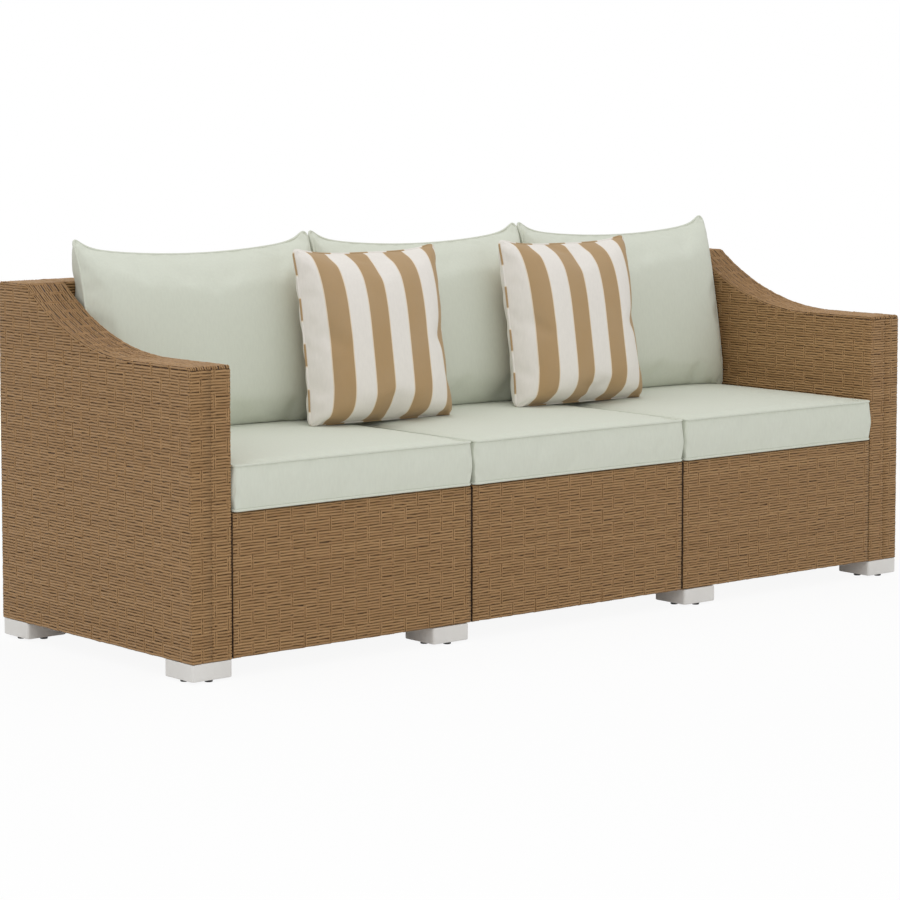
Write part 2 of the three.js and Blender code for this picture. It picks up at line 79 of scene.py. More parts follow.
def colour(name, text, *shade):
    return FloatVectorProperty(name=name, description=text, default=linear(*shade), size=3, subtype="COLOR",
                               min=0.0, max=1.0)


class SofaWeave(bpy.types.PropertyGroup):
    """Strands of the woven skins"""

    row_pitch: length("Row pitch", "Distance between neighbouring strands of the rows", 5.7)
    hidden_pitch: length("Hidden row pitch", "Distance between rows that are out of sight", 11.4)
    stake_pitch: length("Stake pitch", "Distance between neighbouring pairs of upright strands", 31)
    pair_gap: length("Pair spacing", "Distance between the two strands of a pair", 4.5)
    strand_width: length("Strand width", "Width of one strand of the rows", 5.7)
    upright_width: length("Upright width", "Width of one upright strand", 3.9)
    camber: length("Strand camber", "How far a strand's edges lie below its middle", 0.7)
    dip: length("Dip", "How far a strand passes under another", 1.15)
    sway: length("Sway", "How far a strand wanders sideways between the uprights", 0.42)
    backing: length("Backing depth", "How deep the closed sheet behind the strands lies", 2.0)
    skin: length("Skin", "Thickness of the whole woven skin", 6.0)
    block: IntProperty(name="Rows in a block", description="Rows that pass a pair on the same side", default=5,
                       min=1)
    light: colour("Light strand", "Colour of the palest strands", 178, 141, 97)
    dark: colour("Dark strand", "Colour of the darkest strands", 152, 116, 75)
    # painted shade: strands darken towards the gap colour at their edges and deeper down between them
    gap: colour("Gap", "Colour deep between the strands", 122, 86, 48)
    # painted shade: the closed sheet behind the strands takes the hollow colour, standing for the shade inside
    # the skin
    hollow: colour("Hollow", "Colour of the sheet behind the strands", 66, 44, 26)


class SofaBody(bpy.types.PropertyGroup):
    """Outline of the arms and bays"""

    arm_height: length("Arm height", "Height of the arm's level front part", 606)
    back_height: length("Back height", "Height of the arm's level rear part and of the back", 735)
    back_thickness: length("Back thickness", "Depth of the back and of the arm's level rear part", 100)
    front_thickness: length("Front thickness", "Depth of the seat's front", 94)
    deck_height: length("Deck height", "Height of the woven deck under the cushions", 321)
    sweep_radius: length("Sweep radius", "Radius of the arm's hollow sweep", 600)
    crest_radius: length("Crest radius", "Radius where the sweep meets the rear part", 14)
    edge_radius: length("Edge radius", "Radius of the arm's front and rear top edges", 7)
    corner_radius: length("Corner radius", "Radius of all other woven edges", 2.5)
    seam_inset: length("Seam inset", "How far the strands of a bay end before its sides", 1.2)
    first_pair: length("First pair", "Place of an upright pair beside the middle of an arm's front", 39)


class SofaCushions(bpy.types.PropertyGroup):
    """Seat cushions, back cushions and throw pillows"""

    thickness: length("Seat thickness", "Height of a seat cushion's boxing", 90)
    crown: length("Seat crown", "Rise of a seat cushion's top", 9)
    welt: length("Welt radius", "Radius of the welt along the seams", 2.7)
    back_height: length("Back cushion height", "Height of a back cushion's raised corners over its foot", 421)
    back_bulge: length("Back cushion bulge", "How far a back cushion bulges to the front and to the rear", 74)
    back_sag: length("Back cushion sag", "How far the top edge lies below the corners", 42)
    back_draw: length("Back cushion draw", "How far a back cushion's sides draw in between its corners", 6)
    front_stand: length("Front stand", "How far the seat cushions stand out over the seat's front", 9)
    seam_lead: length("Seam lead", "How far a back cushion's seam lies before its middle", 12)
    seam_bow: length("Seam bow", "How far the side seams bow forwards between the corners", 18)
    ear: length("Ear radius", "Radius of the corners of the back cushions and pillows", 18)
    back_lean: angle("Back cushion lean", "Lean of the back cushions", 10.3)
    pillow_width: length("Pillow width", "Width of a throw pillow", 370)
    pillow_height: length("Pillow height", "Height of a throw pillow", 382)
    pillow_bulge: length("Pillow bulge", "Half the thickness of a throw pillow", 68)
    pillow_sag: length("Pillow sag", "How far a pillow's edges draw in between its corners", 9)
    pillow_dip: length("Pillow dip", "How far a pillow's top edge lies below its corners", 17)
    pillow_set: length("Pillow seam set", "How far a pillow's seam lies behind its middle", 1)
    pillow_lean: angle("Pillow lean", "Lean of the throw pillows", 9.5)
    stripe: length("Stripe period", "Width of one pale and one tan stripe", 96)
    first_stripe: length("First stripe", "How much wider the first pale stripe is than the others", 8)
    cell: length("Cloth cell", "Size of the cells that the cloth is worked out on", 11)
    cloth: colour("Cushion cloth", "Colour of the seat and back cushions", 216, 220, 206)
    pale: colour("Pale stripe", "Colour of the pillows' pale stripes", 236, 231, 224)
    tan: colour("Tan stripe", "Colour of the pillows' tan stripes", 178, 148, 108)
    cream: colour("Stripe edge", "Colour of the thin lines beside the tan stripes", 232, 216, 192)


class SofaStage(bpy.types.PropertyGroup):
    """Feet, frame, light and camera"""

    foot_edge: length("Foot edge", "Radius of the feet's level edges", 2.4)
    foot_corner: length("Foot corner", "Radius of the feet's upright edges", 6)
    plate: length("Glide plate", "Width of the plate that holds the glides", 84)
    plate_thickness: length("Glide plate thickness", "Thickness of that plate", 5)
    pad_radius: length("Pad radius", "Radius of one glide", 8)
    pad_place: length("Pad place", "Distance of the glides from the middle of their plate", 33)
    stud_radius: length("Stud radius", "Radius of the stud that holds a foot", 4)
    foot: colour("Foot", "Colour of the moulded feet", 232, 230, 226)
    glide: colour("Glide", "Colour of the glides under the feet", 42, 39, 38)
    steel: colour("Frame", "Colour of the painted tubes", 62, 50, 40)
    zinc: colour("Fasteners", "Colour of the bolts", 176, 180, 184)
    floor: colour("Floor", "Colour of the floor", 238, 238, 238)
    ambient: FloatProperty(name="Ambient", description="Strength of the even light", default=0.81, min=0.0)
    key: FloatProperty(name="Key", description="Power of each lamp in watts", default=17.0, min=0.0)
    lens: FloatProperty(name="Lens", description="Focal length of the camera in millimetres", default=118.11)


# Lines in a plane, read by their length

class Track:
    """A line in a plane with normals on one side of it: 1 is the right of its direction, -1 the left."""

    def __init__(self, points, side, closed=False):
        points = np.asarray(points, float)
        keep = np.concatenate([[True], np.abs(np.diff(points, axis=0)).sum(1) > 1e-7])
        self.points = points[keep]
        step = np.diff(self.points, axis=0)
        reach = np.hypot(step[:, 0], step[:, 1])
        self.marks = np.concatenate([[0.0], np.cumsum(reach)])
        self.whole = self.marks[-1]
        across = side * np.stack([step[:, 1], -step[:, 0]], 1) / reach[:, None]
        before = np.concatenate([across[-1:] if closed else across[:1], across])
        after = np.concatenate([across, across[:1] if closed else across[-1:]])
        normals = before + after
        self.normals = normals / np.linalg.norm(normals, axis=1)[:, None]

    def at(self, place):
        """Both coordinates and both parts of the normal at a length along the line."""
        return [np.interp(place, self.marks, values) for values in (*self.points.T, *self.normals.T)]


def arc(x, y, radius, start, end, steps):
    turns = np.linspace(start, end, steps + 1)
    return [(x + radius * math.cos(a), y + radius * math.sin(a)) for a in turns]


def ring(low, high, radius):
    """Closed points round a rectangle with rounded corners, anticlockwise from the middle of its lower side."""
    start = ((low[0] + high[0]) / 2, low[1])
    points = [start]
    for x, y, x_in, y_in, turn in ((high[0], low[1], -1, 1, -1), (high[0], high[1], -1, -1, 0),
                                   (low[0], high[1], 1, -1, 1), (low[0], low[1], 1, 1, 2)):
        points += arc(x + x_in * radius, y + y_in * radius, radius, turn * QUARTER, (turn + 1) * QUARTER, 4)
    return points + [start]


def bent(corners, radius):
    """An open line through corners, each rounded."""
    points = [corners[0]]
    for before, here, after in zip(corners, corners[1:], corners[2:]):
        here = np.array(here)
        into, out = here - np.array(before), np.array(after) - here
        into, out = into / np.linalg.norm(into), out / np.linalg.norm(out)
        for share in np.linspace(0, QUARTER, 5):
            points.append(here - into * radius * (1 - math.sin(share)) + out * radius * (1 - math.cos(share)))
    return [*points, corners[-1]]


# Weaving

ROW_OVER = -0.15 * MM  # height of a row where it passes over a pair of uprights
ROW_BESIDE = -0.4 * MM  # height of a row between the pairs
ROW_RUN = 5 * MM  # how far beside a pair a row is back at that height
ROW_NOISE = 0.3 * MM  # how much the height of a row varies
PAIR_OVER = -0.55 * MM  # height of an upright where it passes over a block of rows
PAIR_RUN = 1.3 * MM  # how far beside a block's edge an upright has changed sides
PAIR_NOISE = 0.1 * MM  # how much the height of an upright varies
TOPMOST = -0.02 * MM  # no strand rises above this height
SHEET_MARK = -4.5 * MM  # depth that the closed sheet is marked with, deeper than any strand, so that it takes the painted shade colour


def panel_faces(index):
    """Four-sided faces of a grid of point numbers, facing the side from which its first axis turns left into
    its second."""
    return np.stack([index[:-1, :-1], index[1:, :-1], index[1:, 1:], index[:-1, 1:]], -1).reshape(-1, 4)


def three_sided(faces):
    return np.concatenate([faces, faces[:, 2:]], 1)


class Loom:
    """Weaves strands over a surface, which is a function of two lengths, s and t, and a height over it."""

    def __init__(self, weave, seed):
        self.weave = weave
        self.camber = weave.camber
        self.loose = ROW_NOISE
        self.chance = np.random.default_rng(seed)
        self.pieces = []

    def lay(self, surface, along, centres, half, level, low, high, upright):
        """Closed strands of three-sided section. Rows run along s, uprights along t. Each strand has its half
        width and two ends, and centres and level are its place and height at each step along it."""
        run = np.clip(np.broadcast_to(along, level.shape), low[:, None], high[:, None])
        rings = []
        for side in (-1, 0, 1):
            across = centres + side * half[:, None] + 0 * run
            height = level - self.camber * abs(side)
            rings.append(surface(across, run, height) if upright else surface(run, across, height))
        points = np.stack(rings, 2)
        count, steps = level.shape
        index = np.arange(count * steps * 3).reshape(count, steps, 3)
        live = np.diff(run, axis=1) > 1e-7
        quads = [np.stack([index[:, :-1, a], index[:, 1:, a], index[:, 1:, b], index[:, :-1, b]], -1)[live]
                 for a, b in ((0, 1), (1, 2), (2, 0))]
        rows = np.flatnonzero(live.any(1))
        first = live[rows].argmax(1)
        last = live.shape[1] - live[rows][:, ::-1].argmax(1)
        quads, ends = np.concatenate(quads), np.concatenate([index[rows, first], index[rows, last][:, ::-1]])
        if upright:
            quads, ends = quads[:, ::-1], ends[:, ::-1]
        across = np.broadcast_to(np.array([-1.0, 0.0, 1.0]), (count, steps, 3)).reshape(-1)
        tone = np.repeat(self.chance.random(count), steps * 3)
        self.pieces.append((points.reshape(-1, 3), np.concatenate([quads, three_sided(ends)]), across,
                            np.repeat(level.reshape(-1), 3), tone))

    def levels(self, knots, classes, along, kinds, sway):
        """Heights of strands that follow one of two alternating lines, each with a little sway of its own."""
        lines = np.array([np.interp(along, knots, values) for values in classes])
        level = lines[kinds] + self.chance.normal(0, sway, (len(kinds), len(along)))
        return np.minimum(level, TOPMOST)

    def cover(self, surface, s_low, s_high, rows, halves, pairs, s_marks=(), t_marks=(), row_ends=None,
              upright_ends=None):
        """Rows over s_low to s_high, and pairs of uprights that pass them by blocks of rows."""
        weave = self.weave
        knots = np.add.outer(pairs, [-ROW_RUN, 0, ROW_RUN]).ravel()
        marks = np.concatenate([knots, s_marks, [s_low, s_high]])
        along = np.unique(np.round(np.clip(marks, s_low, s_high), 6))
        beside = np.full(len(pairs), ROW_BESIDE)
        classes = []
        for phase in (0, 1):
            under = (np.arange(len(pairs)) + phase) % 2 == 1
            middle = np.where(under, ROW_OVER - weave.dip, ROW_OVER)
            classes.append(np.stack([beside, middle, beside], 1).ravel())
        kinds = (np.arange(len(rows)) // weave.block) % 2
        low, high = row_ends(rows) if row_ends else (np.full(len(rows), s_low), np.full(len(rows), s_high))
        places = rows[:, None] + self.chance.normal(0, weave.sway, (len(rows), len(along)))
        level = self.levels(knots, classes, along, kinds, self.loose)
        self.lay(surface, along, places, halves, level, low, high, False)

        edges = np.append(rows[:: weave.block] - halves[:: weave.block], rows[-1] + halves[-1])
        knots = np.add.outer(edges, [-PAIR_RUN, PAIR_RUN]).ravel()
        marks = np.concatenate([knots, t_marks])
        along = np.unique(np.round(np.clip(marks, edges[0], edges[-1]), 6))
        classes = []
        for phase in (0, 1):
            over = (np.arange(-1, len(edges)) + phase) % 2 == 1
            height = np.where(over, PAIR_OVER, PAIR_OVER - weave.dip)
            classes.append(np.stack([height[:-1], height[1:]], 1).ravel())
        kinds = np.repeat(np.arange(len(pairs)), 2) % 2
        places = np.repeat(pairs, 2) + np.tile([-0.5, 0.5], len(pairs)) * weave.pair_gap
        centres = places[:, None] + np.zeros(len(along))
        low, high = (upright_ends(places) if upright_ends
                     else (np.full(len(places), edges[0]), np.full(len(places), edges[-1])))
        self.lay(surface, along, centres, np.full(len(places), weave.upright_width / 2),
                 self.levels(knots, classes, along, kinds, PAIR_NOISE), low, high, True)

    def back(self, surface, s, low, high, shares=(0.0, 1.0)):
        """A closed sheet behind the strands, from low to high along t at each s. Its material paints it dark,
        as painted shade.
        """
        t = low[:, None] + (high - low)[:, None] * np.asarray(shares)
        grid = np.broadcast_to(s[:, None], t.shape)
        depths = (-self.weave.backing, -self.weave.skin)
        points = np.concatenate([surface(grid, t, 0 * t + depth).reshape(-1, 3) for depth in depths])
        n, m = t.shape
        front = np.arange(n * m).reshape(n, m)
        rim = np.concatenate([front[:, 0], front[-1, 1:], front[-2::-1, -1], front[0, -2::-1]])
        edge = np.stack([rim[:-1], rim[:-1] + n * m, rim[1:] + n * m, rim[1:]], 1)
        faces = np.concatenate([panel_faces(front), panel_faces(front + n * m)[:, ::-1], edge])
        none = np.zeros(len(points))
        self.pieces.append((points, faces, none, none + SHEET_MARK, none + 0.5))

    def finished(self, name):
        return mesh_object(name, self.pieces, ("across", "deep", "tone"))


def mesh_object(name, pieces, labels=(), smooth=True):
    """One object from pieces, each a tuple of points, faces and a value for each label at each point. A face
    whose last two numbers are the same has three sides."""
    counts = np.cumsum([0] + [len(piece[0]) for piece in pieces])
    points = np.concatenate([piece[0] for piece in pieces])
    faces = np.concatenate([piece[1] + start for piece, start in zip(pieces, counts)])
    used, back = np.unique(faces, return_inverse=True)
    faces = back.reshape(faces.shape)
    sides = np.where(faces[:, 3] == faces[:, 2], 3, 4)
    mesh = bpy.data.meshes.new(name)
    mesh.vertices.add(len(used))
    mesh.vertices.foreach_set("co", points[used].astype(np.float32).ravel())
    mesh.loops.add(int(sides.sum()))
    mesh.loops.foreach_set("vertex_index", faces[np.arange(4) < sides[:, None]].astype(np.int32))
    mesh.polygons.add(len(faces))
    mesh.polygons.foreach_set("loop_start", np.concatenate([[0], np.cumsum(sides)[:-1]]).astype(np.int32))
    mesh.polygons.foreach_set("use_smooth", np.full(len(faces), smooth))
    mesh.update(calc_edges=True)
    for i, label in enumerate(labels):
        values = np.concatenate([np.broadcast_to(piece[2 + i], len(piece[0])) for piece in pieces])[used]
        mesh.attributes.new(label, "FLOAT", "POINT").data.foreach_set("value", values.astype(np.float32))
    piece = bpy.data.objects.new(name, mesh)
    bpy.context.scene.collection.objects.link(piece)
    return piece


def dressed(piece, body, slot, material, *nodes):
    """Gives a piece its material and its body, and hides the nodes that it stands for. The slot is not used."""
    piece.data.materials.clear()
    piece.data.materials.append(material)
    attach(piece, body)
    if nodes:
        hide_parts(*nodes)
    return piece


# Materials

GAP_SHADE_DEPTHS = (-0.6 * MM, -3.4 * MM)  # depths between which a strand darkens with painted shade
SHADE_SHEET_DEPTHS = (-4.0 * MM, -4.4 * MM)  # depths past which only the closed sheet lies, painted in the dark shade colour
CREAM_BAND, TAN_BAND = (0.475, 0.997), (0.498, 0.975)  # where they start and end in a stripe period
BAND_BLUR = 0.004  # how soft their edges are
WHITE_FLOOR = (1.3, 3.5, 0.92, 1.0)  # a near and a far distance, and how white the floor looks at each


class Finish:
    """A material and short ways to add and join its nodes."""

    def __init__(self, name, roughness):
        self.material = bpy.data.materials.new(name)
        self.material.use_nodes = True
        self.tree = self.material.node_tree
        self.shader = self.tree.nodes["Principled BSDF"]
        self.shader.inputs["Roughness"].default_value = roughness

    def add(self, kind, **settings):
        node = self.tree.nodes.new(kind)
        for key, value in settings.items():
            setattr(node, key, value)
        return node

    def feed(self, socket, value):
        if isinstance(value, bpy.types.NodeSocket):
            self.tree.links.new(value, socket)
        else:
            socket.default_value = value

    def read(self, name):
        return self.add("ShaderNodeAttribute", attribute_name=name).outputs["Fac"]

    def sum(self, operation, *values, clamp=False):
        node = self.add("ShaderNodeMath", operation=operation, use_clamp=clamp)
        for socket, value in zip(node.inputs, values):
            self.feed(socket, value)
        return node.outputs[0]

    def span(self, value, low, high, to_low=0.0, to_high=1.0):
        node = self.add("ShaderNodeMapRange")
        for socket, part in zip(node.inputs, (value, low, high, to_low, to_high)):
            self.feed(socket, part)
        return node.outputs[0]

    def mix(self, factor, first, second, blend="MIX"):
        node = self.add("ShaderNodeMix", data_type="RGBA", blend_type=blend)
        for socket, value in ((0, factor), (6, first), (7, second)):
            self.feed(node.inputs[socket], value)
        return node.outputs[2]

    def place(self):
        return self.add("ShaderNodeTexCoord").outputs["Object"]

    def noise(self, scale, detail=2.0, stretch=None):
        place = self.place()
        if stretch:
            mapping = self.add("ShaderNodeMapping")
            self.feed(mapping.inputs["Vector"], place)
            mapping.inputs["Scale"].default_value = stretch
            place = mapping.outputs["Vector"]
        node = self.add("ShaderNodeTexNoise")
        self.feed(node.inputs["Vector"], place)
        node.inputs["Scale"].default_value = scale
        node.inputs["Detail"].default_value = detail
        return node.outputs["Fac"]

    def wave(self, scale, axis, distortion=0.0):
        node = self.add("ShaderNodeTexWave", bands_direction=axis)
        self.feed(node.inputs["Vector"], self.place())
        node.inputs["Scale"].default_value = scale
        node.inputs["Distortion"].default_value = distortion
        return node.outputs["Fac"]

    def bump(self, height, distance, strength=1.0):
        node = self.add("ShaderNodeBump")
        self.feed(node.inputs["Height"], height)
        node.inputs["Distance"].default_value = distance
        node.inputs["Strength"].default_value = strength
        return node.outputs["Normal"]

    def done(self, base, roughness, normal, **plain):
        for name, value in (("Base Color", base), ("Roughness", roughness), ("Normal", normal)):
            self.feed(self.shader.inputs[name], value)
        for name, value in plain.items():
            self.shader.inputs[name.replace("_", " ")].default_value = value
        return self.material


def solid(shade):
    return (*shade, 1.0)


def shared(name, make, *values):
    """The material of that name, made the first time that it is asked for."""
    return bpy.data.materials.get(name) or make(name, *values)


def strand_finish(name, weave):
    """Extruded strand: a tone for each strand and fine ribs along it, with painted shade at its edges, deeper
    between the strands and on the sheet behind them.
    """
    look = Finish(name, 0.5)
    across, deep, tone = look.read("across"), look.read("deep"), look.read("tone")
    mottle, speck = look.noise(60.0, 3.0), look.noise(900.0)
    blend = look.sum("ADD", look.sum("MULTIPLY", tone, 0.6), look.sum("MULTIPLY", mottle, 0.5), clamp=True)
    base = look.mix(blend, solid(weave.dark), solid(weave.light))
    ribs = look.sum("SINE", look.sum("MULTIPLY", across, 14.0))
    base = look.mix(look.span(ribs, -1.0, 1.0, 0.0, 0.12), base, solid(weave.dark))
    # painted shade: each strand's edges darken towards the gap colour, as if turned away from the light
    edge = look.sum("POWER", look.sum("ABSOLUTE", across), 3.0)
    base = look.mix(look.sum("MULTIPLY", edge, 0.25), base, solid(weave.gap))
    # painted shade: deeper parts of the strands darken towards the gap colour
    base = look.mix(look.span(deep, *GAP_SHADE_DEPTHS, 0.0, 0.5), base, solid(weave.gap))
    # painted shade: the sheet behind the strands takes the dark hollow colour
    base = look.mix(look.span(deep, *SHADE_SHEET_DEPTHS), base, solid(weave.hollow))
    height = look.sum("ADD", look.sum("MULTIPLY", ribs, 0.25), speck)
    return look.done(base, look.span(speck, 0.3, 0.7, 0.42, 0.62), look.bump(height, 0.00012, 0.6),
                     Specular_IOR_Level=0.35)


def paint_finish(name, shade):
    look = Finish(name, 0.5)
    grain, wear = look.noise(700.0, 3.0), look.noise(12.0, 4.0)
    base = look.mix(look.span(wear, 0.45, 0.75, 0.0, 0.35), solid(shade), solid([c * 1.6 for c in shade]))
    rough = look.span(grain, 0.3, 0.7, 0.42, 0.6)
    return look.done(base, rough, look.bump(grain, 0.00015, 0.5), Metallic=0.1)


def moulded_finish(name, shade, rough, scale):
    look = Finish(name, rough)
    grain, cloud = look.noise(scale, 3.0), look.noise(18.0, 3.0)
    base = look.mix(look.span(cloud, 0.35, 0.7, 0.0, 0.5), solid(shade), solid([c * 0.93 for c in shade]))
    rough = look.span(grain, 0.3, 0.7, rough - 0.08, rough + 0.1)
    return look.done(base, rough, look.bump(grain, 0.00008, 0.5))


def zinc_finish(name, shade):
    look = Finish(name, 0.35)
    grain = look.noise(260.0, 4.0)
    base = look.mix(look.span(grain, 0.35, 0.65), solid(shade), solid([c * 0.78 for c in shade]))
    rough = look.span(grain, 0.3, 0.7, 0.28, 0.45)
    return look.done(base, rough, look.bump(grain, 0.00005, 0.4), Metallic=1.0)


def woven_cloth(look, base):
    """Plain cloth over a base colour: fine threads, soft slubs and a little sheen."""
    threads = look.sum("ADD", look.sum("ADD", look.wave(430.0, "X", 0.5), look.wave(430.0, "Y", 0.5)),
                       look.wave(430.0, "Z", 0.5))
    slub, cloud = look.noise(220.0, 3.0, stretch=(1.0, 1.0, 0.25)), look.noise(9.0, 3.0)
    base = look.mix(look.span(slub, 0.35, 0.7, 0.0, 0.05), base, (0.25, 0.25, 0.22, 1.0))
    base = look.mix(look.span(cloud, 0.35, 0.65, 0.0, 0.03), base, (0.9, 0.9, 0.88, 1.0))
    height = look.sum("ADD", look.sum("MULTIPLY", threads, 0.4), slub)
    return look.done(base, look.span(slub, 0.3, 0.7, 0.84, 0.96), look.bump(height, 0.00018, 0.45),
                     Sheen_Weight=0.12, Sheen_Roughness=0.5, Specular_IOR_Level=0.2)


def plain_cloth(name, shade):
    return woven_cloth(Finish(name, 0.9), solid(shade))


def striped_cloth(name, cushions):
    """Cloth whose stripes follow its stored stripe lengths: pale, then tan with a thin line on each side."""
    look = Finish(name, 0.9)
    share = look.sum("FRACT", look.sum("DIVIDE", look.read("stripe"), cushions.stripe))
    band = lambda low, high: look.sum("MULTIPLY", look.span(share, low - BAND_BLUR, low + BAND_BLUR),
                                      look.span(share, high + BAND_BLUR, high - BAND_BLUR))
    base = look.mix(band(*CREAM_BAND), solid(cushions.pale), solid(cushions.cream))
    base = look.mix(band(*TAN_BAND), base, solid(cushions.tan))
    return woven_cloth(look, base)


# Woven arms and bays

BUNDLE = 3  # rows that lie close together along the top of an arm
BUNDLE_SHIFT = 0.6 * MM  # how far the outer rows of a bundle lie nearer to its middle one
CAP_CAMBER = 2  # these rows are rounder than the others by this factor
CAP_NOISE = 0.4 * MM  # how much their height varies
CAP_HALF = 0.41  # half their width, as a share of the row pitch
CAP_DROP = 1.2  # how far they lap over the sides of the arm, in row pitches
UNDER_INSET = 6 * MM  # how far the strands under an arm end before its sides
UNDER_PAIR = 20 * MM  # place of the outer uprights under an arm
RETURN_HEIGHT = 250 * MM  # how far a seat's skin goes up behind its front
UNDER_LAP = 8 * MM  # how far a back's skin ends before its front, under it
PLAY = 0.3 * MM  # least gap between neighbours


def arm_profile(body, front, rear, inset):
    """Top line of an arm in Y and Z, inset by up to its edge's radius: front edge, sweep, crest, rear edge."""
    rise = body.back_height - body.arm_height
    reach = body.sweep_radius + body.crest_radius
    crest_y = rear - body.back_thickness
    sweep_y = crest_y - math.sqrt(reach**2 - (reach - rise) ** 2)
    sweep_z = body.arm_height + body.sweep_radius
    crest_z = body.back_height - body.crest_radius
    meeting = math.atan2(crest_z - sweep_z, crest_y - sweep_y)
    edge, corner = body.edge_radius, body.edge_radius - inset
    points = arc(front + edge, body.arm_height - edge, corner, 2 * QUARTER, QUARTER, 5)
    points += arc(sweep_y, sweep_z, body.sweep_radius + inset, -QUARTER, meeting, 24)
    points += arc(crest_y, crest_z, body.crest_radius - inset, meeting + math.pi, QUARTER, 5)[1:]
    return points + arc(rear - edge, body.back_height - edge, corner, QUARTER, 0, 5)


def woven_arm(side, body, weave):
    """Strands of one arm: round its four upright faces, along its top and under it."""
    low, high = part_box(f"{side}_arm_weave")
    loom = Loom(weave, 11 if side == "left" else 12)
    inward = 1 if side == "left" else -1
    loop = Track(ring((low.x, low.y), (high.x, high.y), body.corner_radius), 1, closed=True)

    def upright(s, t, height):
        x, y, nx, ny = loop.at(s)
        return np.stack([x + nx * height, y + ny * height, t + 0 * x], -1)

    limit = np.array(arm_profile(body, low.y, high.y, weave.row_pitch))
    top_at = lambda s: np.interp(loop.at(s)[1], limit[:, 0], limit[:, 1])
    count = 2 * round(loop.whole / weave.stake_pitch / 2)
    pairs = np.sort((inward * body.first_pair + np.arange(count) * loop.whole / count) % loop.whole)
    rows = np.arange(low.z + weave.row_pitch / 2, body.back_height - weave.row_pitch, weave.row_pitch)
    fine = np.linspace(0, loop.whole, 3000)
    tops = top_at(fine)

    def row_ends(heights):
        ends = np.tile([0.0, loop.whole], (len(heights), 1))
        for i, height in enumerate(heights):
            if height > tops[0]:
                inside = fine[tops > height]
                ends[i] = (inside[0], inside[-1]) if len(inside) else (0.0, 0.0)
        return ends.T

    upright_ends = lambda s: (np.full(len(s), low.z), top_at(s))
    loom.cover(upright, 0.0, loop.whole, rows, np.full(len(rows), weave.strand_width / 2), pairs,
               s_marks=loop.marks, row_ends=row_ends, upright_ends=upright_ends)
    around = np.unique(np.round(np.concatenate([loop.marks, np.linspace(0, loop.whole, 160)]), 6))
    loom.back(upright, around, np.full(len(around), low.z), top_at(around))

    line = Track(arm_profile(body, low.y, high.y, 0.0), -1)
    half, radius, drop = (high.x - low.x) / 2, body.corner_radius, CAP_DROP * weave.row_pitch
    section = [(half, -drop)] + arc(half - radius, -radius, radius, 0, QUARTER, 4)
    section += arc(-half + radius, -radius, radius, QUARTER, 2 * QUARTER, 4) + [(-half, -drop)]
    cross = Track(section, 1)
    middle = (low.x + high.x) / 2

    def capping(s, t, height):
        y, z, ny, nz = line.at(s)
        x, n, dx, dn = cross.at(t)
        rise = n + dn * height
        return np.stack([middle + x + dx * height + 0 * y, y + ny * rise, z + nz * rise], -1)

    count = round(cross.whole / weave.row_pitch)
    rows = (np.arange(count) + 0.5) * cross.whole / count
    pairs = np.arange(weave.stake_pitch / 2, line.whole, weave.stake_pitch)
    rows -= BUNDLE_SHIFT * (np.arange(count) % BUNDLE - 1)
    loom.camber, loom.loose = CAP_CAMBER * weave.camber, CAP_NOISE
    loom.cover(capping, 0.0, line.whole, rows, np.full(count, CAP_HALF * weave.row_pitch), pairs,
               s_marks=line.marks, t_marks=cross.marks)
    loom.camber, loom.loose = weave.camber, ROW_NOISE
    loom.back(capping, line.marks, np.zeros(len(line.marks)), np.full(len(line.marks), cross.whole),
              cross.marks / cross.whole)

    under = lambda s, t, height: np.stack([s, -t, low.z - height + 0 * s], -1)
    inset, pitch = UNDER_INSET, weave.hidden_pitch
    rows = np.arange(-high.y + inset + pitch / 2, -low.y - inset, pitch)
    pairs = np.linspace(low.x + UNDER_PAIR, high.x - UNDER_PAIR, 3)
    ends = np.array([low.x + inset, high.x - inset])
    loom.cover(under, *ends, rows, np.full(len(rows), pitch / 2 - PLAY), pairs)
    loom.back(under, ends, np.full(2, -high.y + inset), np.full(2, -low.y - inset))
    return loom.finished(f"{side}_arm_strands")


def woven_bay(name, node, corners, pitches, body, weave, seed):
    """Strands of a bay's skin, whose rows run along X. corners is its outline in Y and Z, with a pitch of the
    rows for each of its straight parts."""
    low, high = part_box(node)
    loom = Loom(weave, seed)
    line = Track(bent(corners, body.corner_radius), -1)

    def wrapped(s, t, height):
        y, z, ny, nz = line.at(t)
        return np.stack([s + 0 * y, y + ny * height, z + nz * height], -1)

    reach = np.linalg.norm(np.diff(np.array(corners), axis=0), axis=1)
    stops = np.concatenate([[0], np.cumsum(reach)]) * line.whole / reach.sum()
    rows, halves = [], []
    for start, end, pitch in zip(stops, stops[1:], pitches):
        count = weave.block * max(1, round((end - start) / pitch / weave.block))
        step = (end - start) / count
        rows.append(start + (np.arange(count) + 0.5) * step)
        halves.append(np.full(count, step / 2))
    count = round((high.x - low.x) / weave.stake_pitch)
    pairs = low.x + (np.arange(count) + 0.5) * (high.x - low.x) / count
    ends = np.array([low.x + body.seam_inset, high.x - body.seam_inset])
    loom.cover(wrapped, *ends, np.concatenate(rows), np.concatenate(halves), pairs, t_marks=line.marks)
    loom.back(wrapped, ends, np.zeros(2), np.full(2, line.whole), line.marks / line.whole)
    return loom.finished(name)


# Soft forms

CLOTH_STEPS = 20  # frames that the cloth is given to settle


